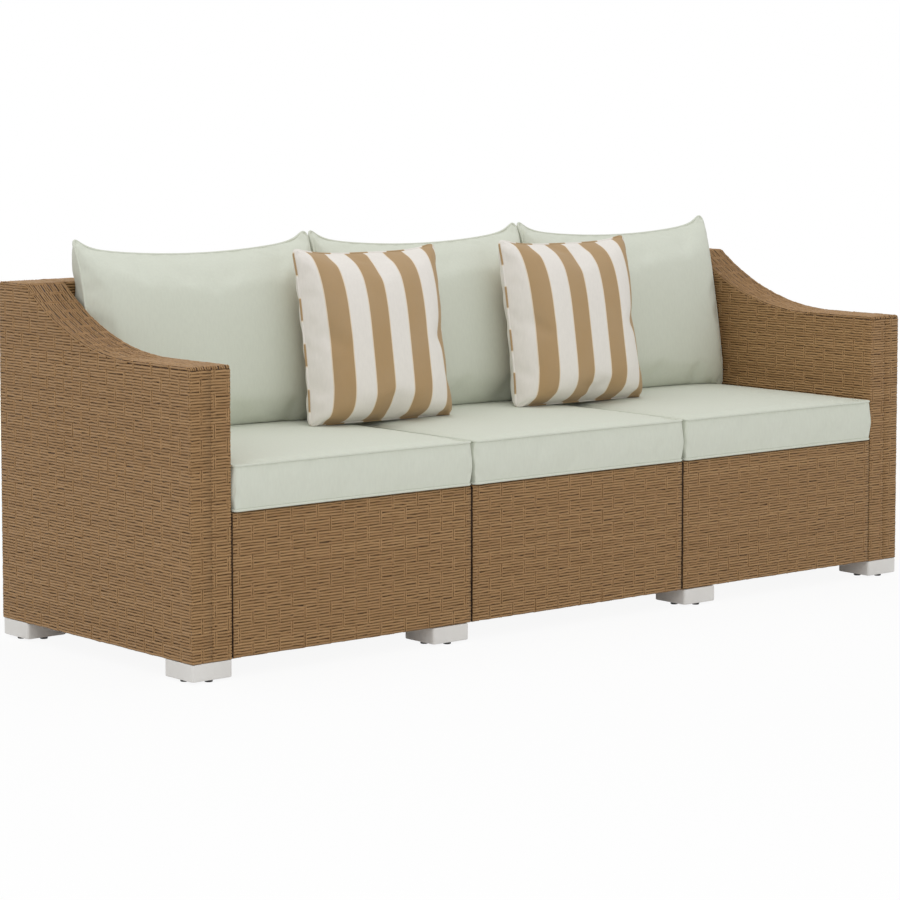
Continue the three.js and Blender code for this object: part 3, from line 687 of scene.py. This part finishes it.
class Form:
    """A soft form on a block's surface cut in a grid. place takes u and v, from -1 to 1 across the two broad
    faces, and h, from 0 to 1 through the thickness, and gives the points."""

    def __init__(self, columns, rows, layers, place):
        self.size = (columns, rows, layers)
        i, j, k = np.indices((columns + 1, rows + 1, layers + 1))
        skin = (i % columns == 0) | (j % rows == 0) | (k % layers == 0)
        self.index = np.full(i.shape, -1)
        self.index[skin] = np.arange(skin.sum())
        spread = lambda share: np.sin((2 * share - 1) * QUARTER)
        self.u, self.v, self.h = spread(i[skin] / columns), spread(j[skin] / rows), k[skin] / layers
        self.points = place(self.u, self.v, self.h)
        index = self.index
        self.faces = np.concatenate([
            panel_faces(index[:, :, -1]), panel_faces(index[:, :, 0])[:, ::-1],
            panel_faces(index[:, 0, :]), panel_faces(index[:, -1, :])[:, ::-1],
            panel_faces(index[0, :, :])[:, ::-1], panel_faces(index[-1, :, :])])

    def rim(self, layer):
        """Point numbers round the form at a layer, anticlockwise from its low corner and not closed."""
        ring = self.index[:, :, layer]
        return np.concatenate([ring[:-1, 0], ring[-1, :-1], ring[:0:-1, -1], ring[0, :0:-1]])


def rounded(x, y, reach_x, reach_y, radius):
    """Draws the corners of a grid in to a radius."""
    a = np.maximum(np.abs(x) - (reach_x - radius), 0) / radius
    b = np.maximum(np.abs(y) - (reach_y - radius), 0) / radius
    share = np.maximum(a, b) / np.maximum(np.hypot(a, b), 1e-9)
    share = np.where((a > 0) & (b > 0), share, 1.0)

    def drawn(value, reach, part):
        return np.where(part > 0, np.sign(value) * (reach - radius + part * share * radius), value)

    return drawn(x, reach_x, a), drawn(y, reach_y, b)


def settled(forms, cap, pressure, slack):
    """Lets the cloth of several forms settle under the pressure of their fillings. Their seams are held, and
    no point moves further than cap."""
    scene = bpy.context.scene
    tests = []
    for form, held in forms:
        test = mesh_object("cloth_test", [(form.points, form.faces)])
        group = test.vertex_groups.new(name="seams")
        for weight in np.unique(held):
            if weight > 0:
                group.add(np.flatnonzero(held == weight).tolist(), float(weight), "REPLACE")
        cloth = test.modifiers.new("cloth", "CLOTH")
        cloth.settings.quality = 6
        cloth.settings.mass = 0.25
        cloth.settings.use_pressure = True
        cloth.settings.uniform_pressure_force = pressure
        cloth.settings.vertex_group_mass = "seams"
        cloth.settings.bending_stiffness = 0.4
        cloth.settings.shrink_min = -slack
        cloth.settings.effector_weights.gravity = 0.0
        cloth.point_cache.frame_start, cloth.point_cache.frame_end = 1, CLOTH_STEPS
        tests.append(test)
    for step in range(1, CLOTH_STEPS + 1):
        scene.frame_set(step)
    graph = bpy.context.evaluated_depsgraph_get()
    for test, (form, _) in zip(tests, forms):
        moved = np.empty(len(form.points) * 3)
        test.evaluated_get(graph).data.vertices.foreach_get("co", moved)
        step = moved.reshape(-1, 3) - form.points
        reach = np.linalg.norm(step, axis=1)
        form.points = form.points + step * np.minimum(1.0, cap / np.maximum(reach, 1e-9))[:, None]
    scene.frame_set(1)
    for test in tests:
        mesh = test.data
        bpy.data.objects.remove(test)
        bpy.data.meshes.remove(mesh)


def softened(name, form, labels=(), values=()):
    """The form as an object, subdivided once."""
    rough = mesh_object(name, [(form.points, form.faces, *values)], labels)
    rough.modifiers.new("smooth", "SUBSURF").levels = 1
    graph = bpy.context.evaluated_depsgraph_get()
    smooth = rough.evaluated_get(graph)
    fine = bpy.data.meshes.new_from_object(smooth, preserve_all_data_layers=True, depsgraph=graph)
    coarse = rough.data
    rough.modifiers.clear()
    rough.data = fine
    bpy.data.meshes.remove(coarse)
    fine.name = name
    return rough


def welt(path, radius, outward, sides=8):
    """Points, faces and length along it of a closed round cord through the points of a path."""
    ahead, behind = np.roll(path, -1, 0), np.roll(path, 1, 0)
    tangent = ahead - behind
    tangent /= np.linalg.norm(tangent, axis=1)[:, None]
    first = outward - (outward * tangent).sum(1)[:, None] * tangent
    first /= np.linalg.norm(first, axis=1)[:, None]
    second = np.cross(tangent, first)
    turns = np.arange(sides) * 2 * math.pi / sides
    circle = np.cos(turns)[None, :, None] * first[:, None] + np.sin(turns)[None, :, None] * second[:, None]
    points = path[:, None] + radius * circle
    index = np.arange(points.shape[0] * sides).reshape(-1, sides)
    index = np.concatenate([index, index[:1]])
    index = np.concatenate([index, index[:, :1]], 1)
    along = np.concatenate([[0], np.cumsum(np.linalg.norm(np.diff(path, axis=0), axis=1))])
    return points.reshape(-1, 3), panel_faces(index), np.repeat(along, sides)


def thinned(path, gap):
    """The points of a path, without those closer than a gap to the last one kept."""
    kept = [0]
    for i in range(1, len(path)):
        if np.linalg.norm(path[i] - path[kept[-1]]) > gap:
            kept.append(i)
    if np.linalg.norm(path[kept[-1]] - path[0]) < gap:
        kept.pop()
    return np.array(kept)


def surface_of(names):
    """A tree of the faces of several pieces, to look for what lies next to a point."""
    points, faces, start = [], [], 0
    for piece in [bpy.data.objects[name] for name in names]:
        points += [piece.matrix_world @ v.co for v in piece.data.vertices]
        faces += [[start + i for i in p.vertices] for p in piece.data.polygons]
        start = len(points)
    return BVHTree.FromPolygons(points, faces)


def rested(points, tree, origin, direction, gap):
    """Moves points that lie past a surface back to a gap in front of it. Each is looked at from far off, along
    a direction from an origin plane."""
    axis = int(np.argmax(np.abs(direction)))
    sign = np.sign(direction[axis])
    for point in points:
        start = Vector(point)
        start[axis] = origin
        hit = tree.ray_cast(start, Vector(direction))[0]
        if hit is not None and sign * (point[axis] - hit[axis]) > -gap:
            point[axis] = hit[axis] - sign * gap
    return points


# Cushions

CLEAR = 0.4 * MM  # gap to what a cushion lies against
HALF_SEAM = 1.5 * MM  # half the gap between two bays
SEAT_BULGE = 3.5 * MM  # how far a seat cushion's sides bulge halfway up
SEAT_DRAW = 3 * MM  # how far they draw in between the corners
SEAT_CORNER = 6 * MM  # radius of its upright corners
SEAT_LIFT = 4 * MM  # how far its underside rises at the rim
SEAT_LAYERS = 8  # cells in its height
WELT_LIFT = 1 * MM  # how far its welts stand out
RIM = 3 * MM  # least half thickness beside a pillow's or back cushion's seam
SIDE_LAP = 9 * MM  # stretch inside a back cushion's corners where its top edge is at full height
BACK_FOOT_SET = 88 * MM  # how far a back cushion's foot lies before its rear
BACK_FOOT_SINK = 14 * MM  # how far it lies under the CAD cushion's foot
PILLOW_TURNS = {"left": -3.4, "right": -2.2}  # degrees by which the pillows are turned about the upright
PILLOW_FINER = 1.2  # how much finer a pillow's cells are
PIPING_START = 22 * MM  # where the stripes of a pillow's piping start


def seat_form(i, cushions):
    """Boxed seat cushion: flat under, crowned on top, its sides drawn in between the corners."""
    low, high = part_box(f"seat_cushion_{BAYS[i]}_cover")
    centre, base = (low + high) / 2, low.z
    half_x, half_y = (high.x - low.x) / 2, (high.y - low.y + cushions.front_stand) / 2
    centre.y -= cushions.front_stand / 2

    def place(u, v, h):
        swell = SEAT_BULGE * (1 - 4 * (h - 0.5) ** 2)
        reach_x = half_x - SEAT_BULGE - SEAT_DRAW * (1 - v**4) + swell
        reach_y = half_y - SEAT_BULGE - SEAT_DRAW * (1 - u**4) + swell
        x, y = rounded(u * reach_x, v * reach_y, reach_x, reach_y, SEAT_CORNER)
        crown = np.where(h == 1, cushions.crown * (1 - u**4) * (1 - v**4), 0)
        lift = SEAT_LIFT * (1 - h) * np.maximum(np.abs(u), np.abs(v)) ** 14
        return np.stack([centre.x + x, centre.y + y, base + h * cushions.thickness + crown + lift], 1)

    cells = [round(2 * half / cushions.cell) for half in (half_x, half_y)]
    return Form(*cells, SEAT_LAYERS, place)


def pillow_form(cells, cushions):
    """A throw pillow in its own frame, its foot at 0, its front towards -Y: two faces sewn round one seam."""
    width, height, sag = cushions.pillow_width, cushions.pillow_height, cushions.pillow_sag

    def place(u, v, h):
        reach_x = width / 2 - sag * (1 - v**4)
        reach_z = height / 2 - np.where(v > 0, cushions.pillow_dip * (1 - u**4), sag * (1 - u**8))
        swell = ((1 - u**4) * np.where(v > 0, 1 - np.abs(v) ** 2.8, 1 - v**8)) ** 0.55
        half = RIM + (cushions.pillow_bulge - RIM) * swell
        x, z = rounded(u * reach_x, v * reach_z, reach_x, reach_z, cushions.ear)
        return np.stack([x, (1 - 2 * h) * half + cushions.pillow_set * (1 - swell), height / 2 + z], 1)

    return Form(cells, cells, 1, place)


def back_form(cells, width, cushions):
    """A back cushion in its own frame, its foot at 0 and its front towards -Y: a crowned front, a fuller rear
    that lies on the panel, and a seam that bows forwards at the sides and dips between the raised corners."""
    height = cushions.back_height

    def place(u, v, h):
        seam = cushions.seam_lead + cushions.seam_bow * (1 - v**4)
        reach = width / 2 - cushions.back_draw * (1 - v**6)
        x, z = rounded(u * reach, v * height / 2, reach, height / 2, cushions.ear)
        across = np.minimum(np.abs(x) / (reach - SIDE_LAP), 1.0)
        top = height - cushions.back_sag * (1 - 0.5 * across**2 - 0.5 * across**13)
        low, high = np.where(v < 0, v, 0), np.where(v > 0, v, 0)
        front = ((1 - np.abs(u) ** 5) * (1 - high**2.5) * (1 - np.abs(low) ** 2.5)) ** 0.5
        rear = ((1 - u**8) * (1 - high**4) * (1 - low**6)) ** 0.5
        depth = np.where(h == 1, -seam - (cushions.back_bulge - seam) * front - RIM * (front == 0),
                         -seam + (cushions.back_bulge + seam) * rear)
        return np.stack([x, depth, (z / height + 0.5) * top], 1)

    return Form(*cells, 1, place)


def turned(points, matrix):
    return points @ np.array(matrix.to_3x3()).T + np.array(matrix.translation)


def frame_of_back_cushion(i, cushions):
    low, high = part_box(f"back_cushion_{BAYS[i]}_cover")
    foot = Vector(((low.x + high.x) / 2, high.y + PLAY - BACK_FOOT_SET, low.z - BACK_FOOT_SINK))
    return Matrix.Translation(foot) @ Matrix.Rotation(-cushions.back_lean, 4, "X")


def frame_of_pillow(side, cushions):
    """Where the CAD places a pillow: turned, leaning, its foot on the seat cushions and its rear by the back
    cushions."""
    low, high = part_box(f"throw_pillow_{side}_cover")
    turn = math.radians(PILLOW_TURNS[side])
    lie = Matrix.Rotation(turn, 4, "Z") @ Matrix.Rotation(-cushions.pillow_lean, 4, "X")
    points = turned(pillow_form(10, cushions).points, lie)
    shift = (low + high) / 2 - Vector((points.min(0) + points.max(0)) / 2)
    return Matrix.Translation(shift) @ lie


def kept_in_bay(points, i):
    """Keeps points clear of the middle of the gaps on both sides of a bay."""
    low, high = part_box(f"seat_weave_{BAYS[i]}")
    points[:, 0] = np.clip(points[:, 0], low.x - HALF_SEAM + CLEAR, high.x + HALF_SEAM - CLEAR)


def joined_welts(form, layers, radius, lift=0.0, settle=None):
    """Welts along the seams of a form, each a tuple for mesh_object with its length from the low corner.
    settle moves the points of a seam off what they lie on."""
    centre = form.points.mean(0)
    made = []
    for first, second in layers:
        path = (form.points[form.rim(first)] + form.points[form.rim(second)]) / 2
        path = path[thinned(path, 2.5 * MM)]
        for _ in range(2):
            path = (np.roll(path, 1, 0) + 2 * path + np.roll(path, -1, 0)) / 4
        if settle:
            path = settle(path)
        ahead = np.roll(path, -1, 0) - np.roll(path, 1, 0)
        outward = path - centre
        outward -= (outward * ahead).sum(1)[:, None] * ahead / (ahead**2).sum(1)[:, None]
        outward /= np.linalg.norm(outward, axis=1)[:, None]
        made.append(welt(path + outward * lift, radius, outward))
    return made


class SofaOperator(bpy.types.Operator):
    """Shared by the sofa's operators"""

    bl_options = {"REGISTER", "UNDO"}


class SOFA_OT_frame(SofaOperator):
    """Paints the tube frames and gives the bolts their finish"""

    bl_idname = "sofa.frame"
    bl_label = "Frame and bolts"

    def execute(self, context):
        stage = context.scene.sofa_stage
        paint = paint_finish("painted_tube", stage.steel)
        zinc = zinc_finish("zinc_bolt", stage.zinc)
        for name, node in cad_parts.items():
            finish = zinc if name.startswith("bolt_") else paint if "_frame" in name else None
            if finish:
                node.data.materials.clear()
                node.data.materials.append(finish)
        return {"FINISHED"}


class SOFA_OT_arms(SofaOperator):
    """Weaves the two arms"""

    bl_idname = "sofa.arms"
    bl_label = "Woven arms"

    def execute(self, context):
        scene = context.scene
        finish = shared("woven_strand", strand_finish, scene.sofa_weave)
        for side in ("left", "right"):
            piece = woven_arm(side, scene.sofa_body, scene.sofa_weave)
            dressed(piece, "frame", "weave", finish, f"{side}_arm_weave")
        return {"FINISHED"}


class SOFA_OT_seats(SofaOperator):
    """Weaves the front and deck of each seat"""

    bl_idname = "sofa.seats"
    bl_label = "Woven seats"

    def execute(self, context):
        scene = context.scene
        body, weave = scene.sofa_body, scene.sofa_weave
        finish = shared("woven_strand", strand_finish, weave)
        for i, bay in enumerate(BAYS):
            node = f"seat_weave_{bay}"
            low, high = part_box(node)
            inner = low.y + body.front_thickness
            corners = [(inner, low.z + RETURN_HEIGHT), (inner, low.z), (low.y, low.z), (low.y, high.z),
                       (high.y, high.z)]
            pitches = (weave.hidden_pitch, weave.hidden_pitch, weave.row_pitch, weave.hidden_pitch)
            piece = woven_bay(f"seat_strands_{bay}", node, corners, pitches, body, weave, 21 + i)
            dressed(piece, "frame", "weave", finish, node)
        return {"FINISHED"}


class SOFA_OT_backs(SofaOperator):
    """Weaves the back panels"""

    bl_idname = "sofa.backs"
    bl_label = "Woven backs"

    def execute(self, context):
        scene = context.scene
        body, weave = scene.sofa_body, scene.sofa_weave
        finish = shared("woven_strand", strand_finish, weave)
        for i, bay in enumerate(BAYS):
            node = f"back_weave_{bay}"
            low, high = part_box(node)
            corners = [(low.y, low.z), (low.y, body.deck_height), (low.y, high.z), (high.y, high.z),
                       (high.y, low.z), (low.y + UNDER_LAP, low.z)]
            pitches = (weave.hidden_pitch, *[weave.row_pitch] * 3, weave.hidden_pitch)
            piece = woven_bay(f"back_strands_{bay}", node, corners, pitches, body, weave, 31 + i)
            dressed(piece, "frame", "weave", finish, node)
        return {"FINISHED"}


ROUND = 0.99  # corner of a square hole as a share of its half width, which makes it round
RECESS_CORNER = 1 * MM  # radius of the corners of a foot's recess
CHAMFER = 0.8 * MM  # chamfer round a pad's lower edge


def moulded_foot(name, stage):
    """A foot with rounded edges, a recess for its plate and a hole for its stud, drawn as one closed loop of
    outlines."""
    low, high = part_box(name)
    centre, half, edge, play = (low + high) / 2, (high.x - low.x) / 2, stage.foot_edge, PLAY
    recess, hole = stage.plate / 2 + play, stage.stud_radius + play
    ceiling = low.z + stage.plate_thickness + play
    turns = (0, 0.5, 1.0, QUARTER)
    outer = [(half - edge * (1 - math.sin(a)), low.z + edge * (1 - math.cos(a))) for a in turns]
    outlines = [(*place, stage.foot_corner) for place in outer]
    outlines += [(reach, low.z + high.z - z, corner) for reach, z, corner in reversed(outlines)]
    outlines += [(hole, high.z, hole * ROUND), (hole, ceiling, hole * ROUND),
                 (recess, ceiling, RECESS_CORNER), (recess, low.z, RECESS_CORNER)]
    rings = []
    for reach, z, corner in outlines:
        near, far = (centre.x - reach, centre.y - reach), (centre.x + reach, centre.y + reach)
        flat = np.array(ring(near, far, corner))
        rings.append(np.column_stack([flat[:-1], np.full(len(flat) - 1, z)]))
    index = np.arange(len(rings) * len(rings[0])).reshape(len(rings), -1)
    index = np.concatenate([index, index[:1]])
    index = np.concatenate([index, index[:, :1]], 1)
    return np.concatenate(rings), panel_faces(index.T)


def lathe(x, y, profile, sides=24):
    """A closed turned piece about an upright line, from pairs of radius and height that go up its outside."""
    turns = np.arange(sides) * 2 * math.pi / sides
    rings = [np.stack([x + r * np.cos(turns), y + r * np.sin(turns), z + 0 * turns], 1) for r, z in profile]
    ends = np.array([[x, y, profile[0][1]], [x, y, profile[-1][1]]])
    index = np.arange(len(profile) * sides).reshape(-1, sides)
    index = np.concatenate([index, index[:, :1]], 1)
    lower, upper = len(profile) * sides, len(profile) * sides + 1
    first, last = index[0], index[-1]
    fans = [np.stack([lower + 0 * first[1:], first[1:], first[:-1], first[:-1]], 1),
            np.stack([upper + 0 * last[1:], last[:-1], last[1:], last[1:]], 1)]
    return np.concatenate(rings + [ends]), np.concatenate([panel_faces(index.T), *fans])


def block(low, high):
    """The eight corners and six faces of a block."""
    plan = ((low[0], low[1]), (high[0], low[1]), (high[0], high[1]), (low[0], high[1]))
    corners = np.array([(x, y, z) for z in (low[2], high[2]) for x, y in plan])
    sides = [(i, (i + 1) % 4, (i + 1) % 4 + 4, i + 4) for i in range(4)]
    return corners, np.array([(3, 2, 1, 0), (4, 5, 6, 7), *sides])


def glides(name, stage):
    """The four pads, plate and stud under a foot."""
    low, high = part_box(name)
    centre, half = (low + high) / 2, stage.plate / 2
    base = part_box(name.replace("glide", "foot"))[0].z
    top, radius = base + stage.plate_thickness, stage.pad_radius
    pieces = [block((centre.x - half, centre.y - half, base), (centre.x + half, centre.y + half, top))]
    for x, y in ((-1, 0), (1, 0), (0, -1), (0, 1)):
        profile = ((radius - CHAMFER, 0.0), (radius, CHAMFER), (radius, base))
        pieces.append(lathe(centre.x + x * stage.pad_place, centre.y + y * stage.pad_place, profile))
    pieces.append(lathe(centre.x, centre.y, ((stage.stud_radius, top), (stage.stud_radius, high.z))))
    return pieces


class SOFA_OT_feet(SofaOperator):
    """Makes the moulded feet and the glides under them"""

    bl_idname = "sofa.feet"
    bl_label = "Feet and glides"

    def execute(self, context):
        stage = context.scene.sofa_stage
        plastic = moulded_finish("moulded_foot", stage.foot, 0.5, 420.0)
        rubber = moulded_finish("dark_glide", stage.glide, 0.6, 600.0)
        for node in [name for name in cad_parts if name.startswith("foot_")]:
            piece = mesh_object(f"moulded_{node}", [moulded_foot(node, stage)], smooth=False)
            dressed(piece, "frame", "foot", plastic, node)
            node = node.replace("foot", "glide")
            piece = mesh_object(f"moulded_{node}", glides(node, stage), smooth=False)
            dressed(piece, "frame", "glide", rubber, node)
        return {"FINISHED"}


class SOFA_OT_seat_cushions(SofaOperator):
    """Makes the three boxed seat cushions"""

    bl_idname = "sofa.seat_cushions"
    bl_label = "Seat cushions"

    def execute(self, context):
        cushions = context.scene.sofa_cushions
        finish = shared("cushion_cloth", plain_cloth, cushions.cloth)
        forms = [seat_form(i, cushions) for i in range(len(BAYS))]
        held = []
        for form in forms:
            seam = ((form.h == 0) | (form.h == 1)) & ((np.abs(form.u) == 1) | (np.abs(form.v) == 1))
            held.append(np.where(form.h == 0, 1.0, np.where(seam, 0.9, 0.0)))
        settled(list(zip(forms, held)), 5 * MM, 3.0, 0.01)
        for i, (bay, form) in enumerate(zip(BAYS, forms)):
            low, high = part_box(f"seat_cushion_{bay}_cover")
            kept_in_bay(form.points, i)
            form.points[:, 2] = np.maximum(form.points[:, 2], low.z)
            name = f"seat_cushion_{bay}"
            cover = softened(name, form)
            settle = lambda path: np.maximum(path, [-9.0, -9.0, low.z + cushions.welt])
            seams = joined_welts(form, ((0, 0), (-1, -1)), cushions.welt, WELT_LIFT, settle)
            dressed(cover, name, "cushion_fabric", finish, f"{name}_cover", f"{name}_foam")
            trim = mesh_object(f"{name}_welt", [piece[:2] for piece in seams])
            dressed(trim, name, "cushion_fabric", finish)
        return {"FINISHED"}


class SOFA_OT_back_cushions(SofaOperator):
    """Makes the three knife-edged back cushions"""

    bl_idname = "sofa.back_cushions"
    bl_label = "Back cushions"

    def execute(self, context):
        scene = context.scene
        cushions = scene.sofa_cushions
        finish = shared("cushion_cloth", plain_cloth, cushions.cloth)
        seats = surface_of(f"seat_cushion_{bay}" for bay in BAYS)
        forms = []
        for i, bay in enumerate(BAYS):
            low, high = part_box(f"back_cushion_{bay}_cover")
            cells = (round((high.x - low.x) / cushions.cell), round(cushions.back_height / cushions.cell))
            form = back_form(cells, high.x - low.x, cushions)
            form.points = turned(form.points, frame_of_back_cushion(i, cushions))
            forms.append(form)
        held = [np.where((np.abs(form.u) == 1) | (np.abs(form.v) == 1), 1.0, 0.0) for form in forms]
        settled(list(zip(forms, held)), 8 * MM, 2.0, 0.02)
        for i, (bay, form) in enumerate(zip(BAYS, forms)):
            name = f"back_cushion_{bay}"
            low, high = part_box(f"{name}_cover")
            kept_in_bay(form.points, i)
            form.points[:, 1] = np.minimum(form.points[:, 1], high.y)
            rested(form.points, seats, high.z + 1, (0, 0, -1), CLEAR)
            cover = softened(name, form)
            settle = lambda path: rested(path, seats, high.z + 1, (0, 0, -1), cushions.welt + CLEAR)
            seams = joined_welts(form, ((0, -1),), cushions.welt, 0.0, settle)
            dressed(cover, name, "cushion_fabric", finish, f"{name}_cover", f"{name}_fill")
            trim = mesh_object(f"{name}_welt", [piece[:2] for piece in seams])
            dressed(trim, name, "cushion_fabric", finish)
        return {"FINISHED"}


class SOFA_OT_pillows(SofaOperator):
    """Makes the two striped throw pillows"""

    bl_idname = "sofa.pillows"
    bl_label = "Throw pillows"

    def execute(self, context):
        scene = context.scene
        cushions = scene.sofa_cushions
        finish = shared("striped_cloth", striped_cloth, cushions)
        seats = surface_of(f"seat_cushion_{bay}" for bay in BAYS)
        backs = surface_of(f"back_cushion_{bay}" for bay in BAYS)
        forms = []
        cells = round(cushions.pillow_width / cushions.cell * PILLOW_FINER)
        for side in ("left", "right"):
            form = pillow_form(cells, cushions)
            row = form.index[:, cells // 2, 0]
            steps = np.linalg.norm(np.diff(form.points[row], axis=0), axis=1)
            reach = np.concatenate([[0], np.cumsum(steps)])
            form.stripe = np.maximum(np.interp(form.u, form.u[row], reach) - cushions.first_stripe, 0)
            form.points = turned(form.points, frame_of_pillow(side, cushions))
            forms.append(form)
        held = [np.where((np.abs(form.u) == 1) | (np.abs(form.v) == 1), 1.0, 0.0) for form in forms]
        settled(list(zip(forms, held)), 8 * MM, 2.0, 0.02)
        for side, form in zip(("left", "right"), forms):
            name = f"throw_pillow_{side}"
            low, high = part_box(f"{name}_cover")
            rested(form.points, seats, high.z + 1, (0, 0, -1), CLEAR)
            rested(form.points, backs, low.y - 1, (0, 1, 0), CLEAR)
            cover = softened(name, form, ("stripe",), (form.stripe,))
            dressed(cover, name, "pillow_fabric", finish, f"{name}_cover", f"{name}_fill")
            settle = lambda path: rested(path, seats, high.z + 1, (0, 0, -1), cushions.welt + CLEAR)
            (points, faces, along), = joined_welts(form, ((0, -1),), cushions.welt, 0.0, settle)
            along = along[-1] - along + PIPING_START
            trim = mesh_object(f"{name}_welt", [(points, faces, along)], ("stripe",))
            dressed(trim, name, "pillow_fabric", finish)
        return {"FINISHED"}


FLOOR_REACH = 30.0  # metres from the middle to the floor's edges
LAMPS = {"key": ((-0.4, 0.5, 3.6), 3.0), "fill": ((-2.6, -3.4, 2.8), 2.6)}  # place and width
LAMP_TARGET = Vector((0.0, 0.0, 0.4))
CAMERA_PLACE = (-4.1957, -4.8633, 1.1298)
CAMERA_DOWN, CAMERA_TURN = 4.928, 40.281  # degrees below the level, and to the right of the way back
CAMERA_SHIFT = -0.12
WHITE = (1.0, 1.0, 1.0, 1.0)


class SOFA_OT_stage(SofaOperator):
    """Sets the floor, the light and the camera"""

    bl_idname = "sofa.stage"
    bl_label = "Floor, light and camera"

    def execute(self, context):
        scene, stage = context.scene, context.scene.sofa_stage
        reach = FLOOR_REACH
        corners = [(-reach, -reach, 0), (reach, -reach, 0), (reach, reach, 0), (-reach, reach, 0)]
        floor = mesh_object("floor", [(np.array(corners), np.array([[0, 1, 2, 3]]))], smooth=False)
        floor.data.materials.append(floor_finish("pale_floor", stage.floor))

        world = bpy.data.worlds.new("studio")
        world.use_nodes = True
        tree = world.node_tree
        lamp = tree.nodes["Background"]
        lamp.inputs["Color"].default_value = WHITE
        lamp.inputs["Strength"].default_value = stage.ambient
        seen = tree.nodes.new("ShaderNodeBackground")
        seen.inputs["Color"].default_value = WHITE
        mix = tree.nodes.new("ShaderNodeMixShader")
        tree.links.new(seen_rays(tree), mix.inputs[0])
        tree.links.new(lamp.outputs[0], mix.inputs[1])
        tree.links.new(seen.outputs[0], mix.inputs[2])
        tree.links.new(mix.outputs[0], tree.nodes["World Output"].inputs["Surface"])
        scene.world = world

        for name, (place, size) in LAMPS.items():
            data = bpy.data.lights.new(name, "AREA")
            data.shape, data.size, data.energy = "DISK", size, stage.key
            item = bpy.data.objects.new(name, data)
            item.location = place
            item.rotation_euler = (LAMP_TARGET - Vector(place)).to_track_quat("-Z", "Y").to_euler()
            scene.collection.objects.link(item)

        data = bpy.data.cameras.new("camera")
        data.lens, data.sensor_width, data.shift_y = stage.lens, 36.0, CAMERA_SHIFT
        data.clip_start, data.clip_end = 0.1, 100.0
        camera = bpy.data.objects.new("camera", data)
        camera.location = CAMERA_PLACE
        camera.rotation_euler = (QUARTER - math.radians(CAMERA_DOWN), 0.0, -math.radians(CAMERA_TURN))
        scene.collection.objects.link(camera)
        scene.camera = camera
        scene.view_settings.view_transform = "Standard"
        return {"FINISHED"}


def seen_rays(tree):
    """1 for rays from the camera, and for those that a gloss or a clear surface sends on."""
    path = tree.nodes.new("ShaderNodeLightPath")
    value = path.outputs["Is Camera Ray"]
    for other in ("Is Glossy Ray", "Is Transmission Ray"):
        node = tree.nodes.new("ShaderNodeMath")
        node.operation = "MAXIMUM"
        tree.links.new(value, node.inputs[0])
        tree.links.new(path.outputs[other], node.inputs[1])
        value = node.outputs[0]
    return value


def floor_finish(name, shade):
    """Pale floor that keeps the object's shadow and otherwise looks as white as the backdrop."""
    look = Finish(name, 0.9)
    tree = look.tree
    grain = look.noise(30.0, 3.0)
    look.feed(look.shader.inputs["Base Color"],
              look.mix(look.span(grain, 0.3, 0.7, 0.0, 0.2), solid(shade), solid([c * 0.99 for c in shade])))
    white = look.add("ShaderNodeEmission")
    blend = look.add("ShaderNodeMixShader")
    distance = look.add("ShaderNodeVectorMath", operation="LENGTH")
    look.feed(distance.inputs[0], look.place())
    share = look.sum("MULTIPLY", seen_rays(tree), look.span(distance.outputs["Value"], *WHITE_FLOOR))
    look.feed(blend.inputs[0], share)
    look.feed(blend.inputs[1], look.shader.outputs[0])
    look.feed(blend.inputs[2], white.outputs[0])
    look.feed(tree.nodes["Material Output"].inputs["Surface"], blend.outputs[0])
    return look.material


class SOFA_PT_panel(bpy.types.Panel):
    """Lists the steps that build the sofa's looks"""

    bl_idname = "SOFA_PT_panel"
    bl_label = "Woven garden sofa"
    bl_space_type = "VIEW_3D"
    bl_region_type = "UI"
    bl_category = "Sofa"

    def draw(self, context):
        layout = self.layout
        for key in ("sofa_weave", "sofa_body", "sofa_cushions", "sofa_stage"):
            group = getattr(context.scene, key)
            box = layout.box()
            box.label(text=type(group).__doc__)
            for name in group.bl_rna.properties.keys():
                if name not in ("rna_type", "name"):
                    box.prop(group, name)
        for step in STEPS:
            layout.operator(step.bl_idname)


STEPS = (SOFA_OT_stage, SOFA_OT_frame, SOFA_OT_feet, SOFA_OT_arms, SOFA_OT_seats, SOFA_OT_backs,
         SOFA_OT_seat_cushions, SOFA_OT_back_cushions, SOFA_OT_pillows)
GROUPS = {"sofa_weave": SofaWeave, "sofa_body": SofaBody, "sofa_cushions": SofaCushions,
          "sofa_stage": SofaStage}


def register():
    for kind in (*GROUPS.values(), *STEPS, SOFA_PT_panel):
        bpy.utils.register_class(kind)
    for key, kind in GROUPS.items():
        setattr(bpy.types.Scene, key, PointerProperty(type=kind))


def unregister():
    for key in GROUPS:
        delattr(bpy.types.Scene, key)
    for kind in (SOFA_PT_panel, *reversed(STEPS), *reversed(GROUPS.values())):
        bpy.utils.unregister_class(kind)


def main():
    register()
    for step in STEPS:
        group, name = step.bl_idname.split(".")
        getattr(getattr(bpy.ops, group), name)()


if __name__ == "__main__":
    main()
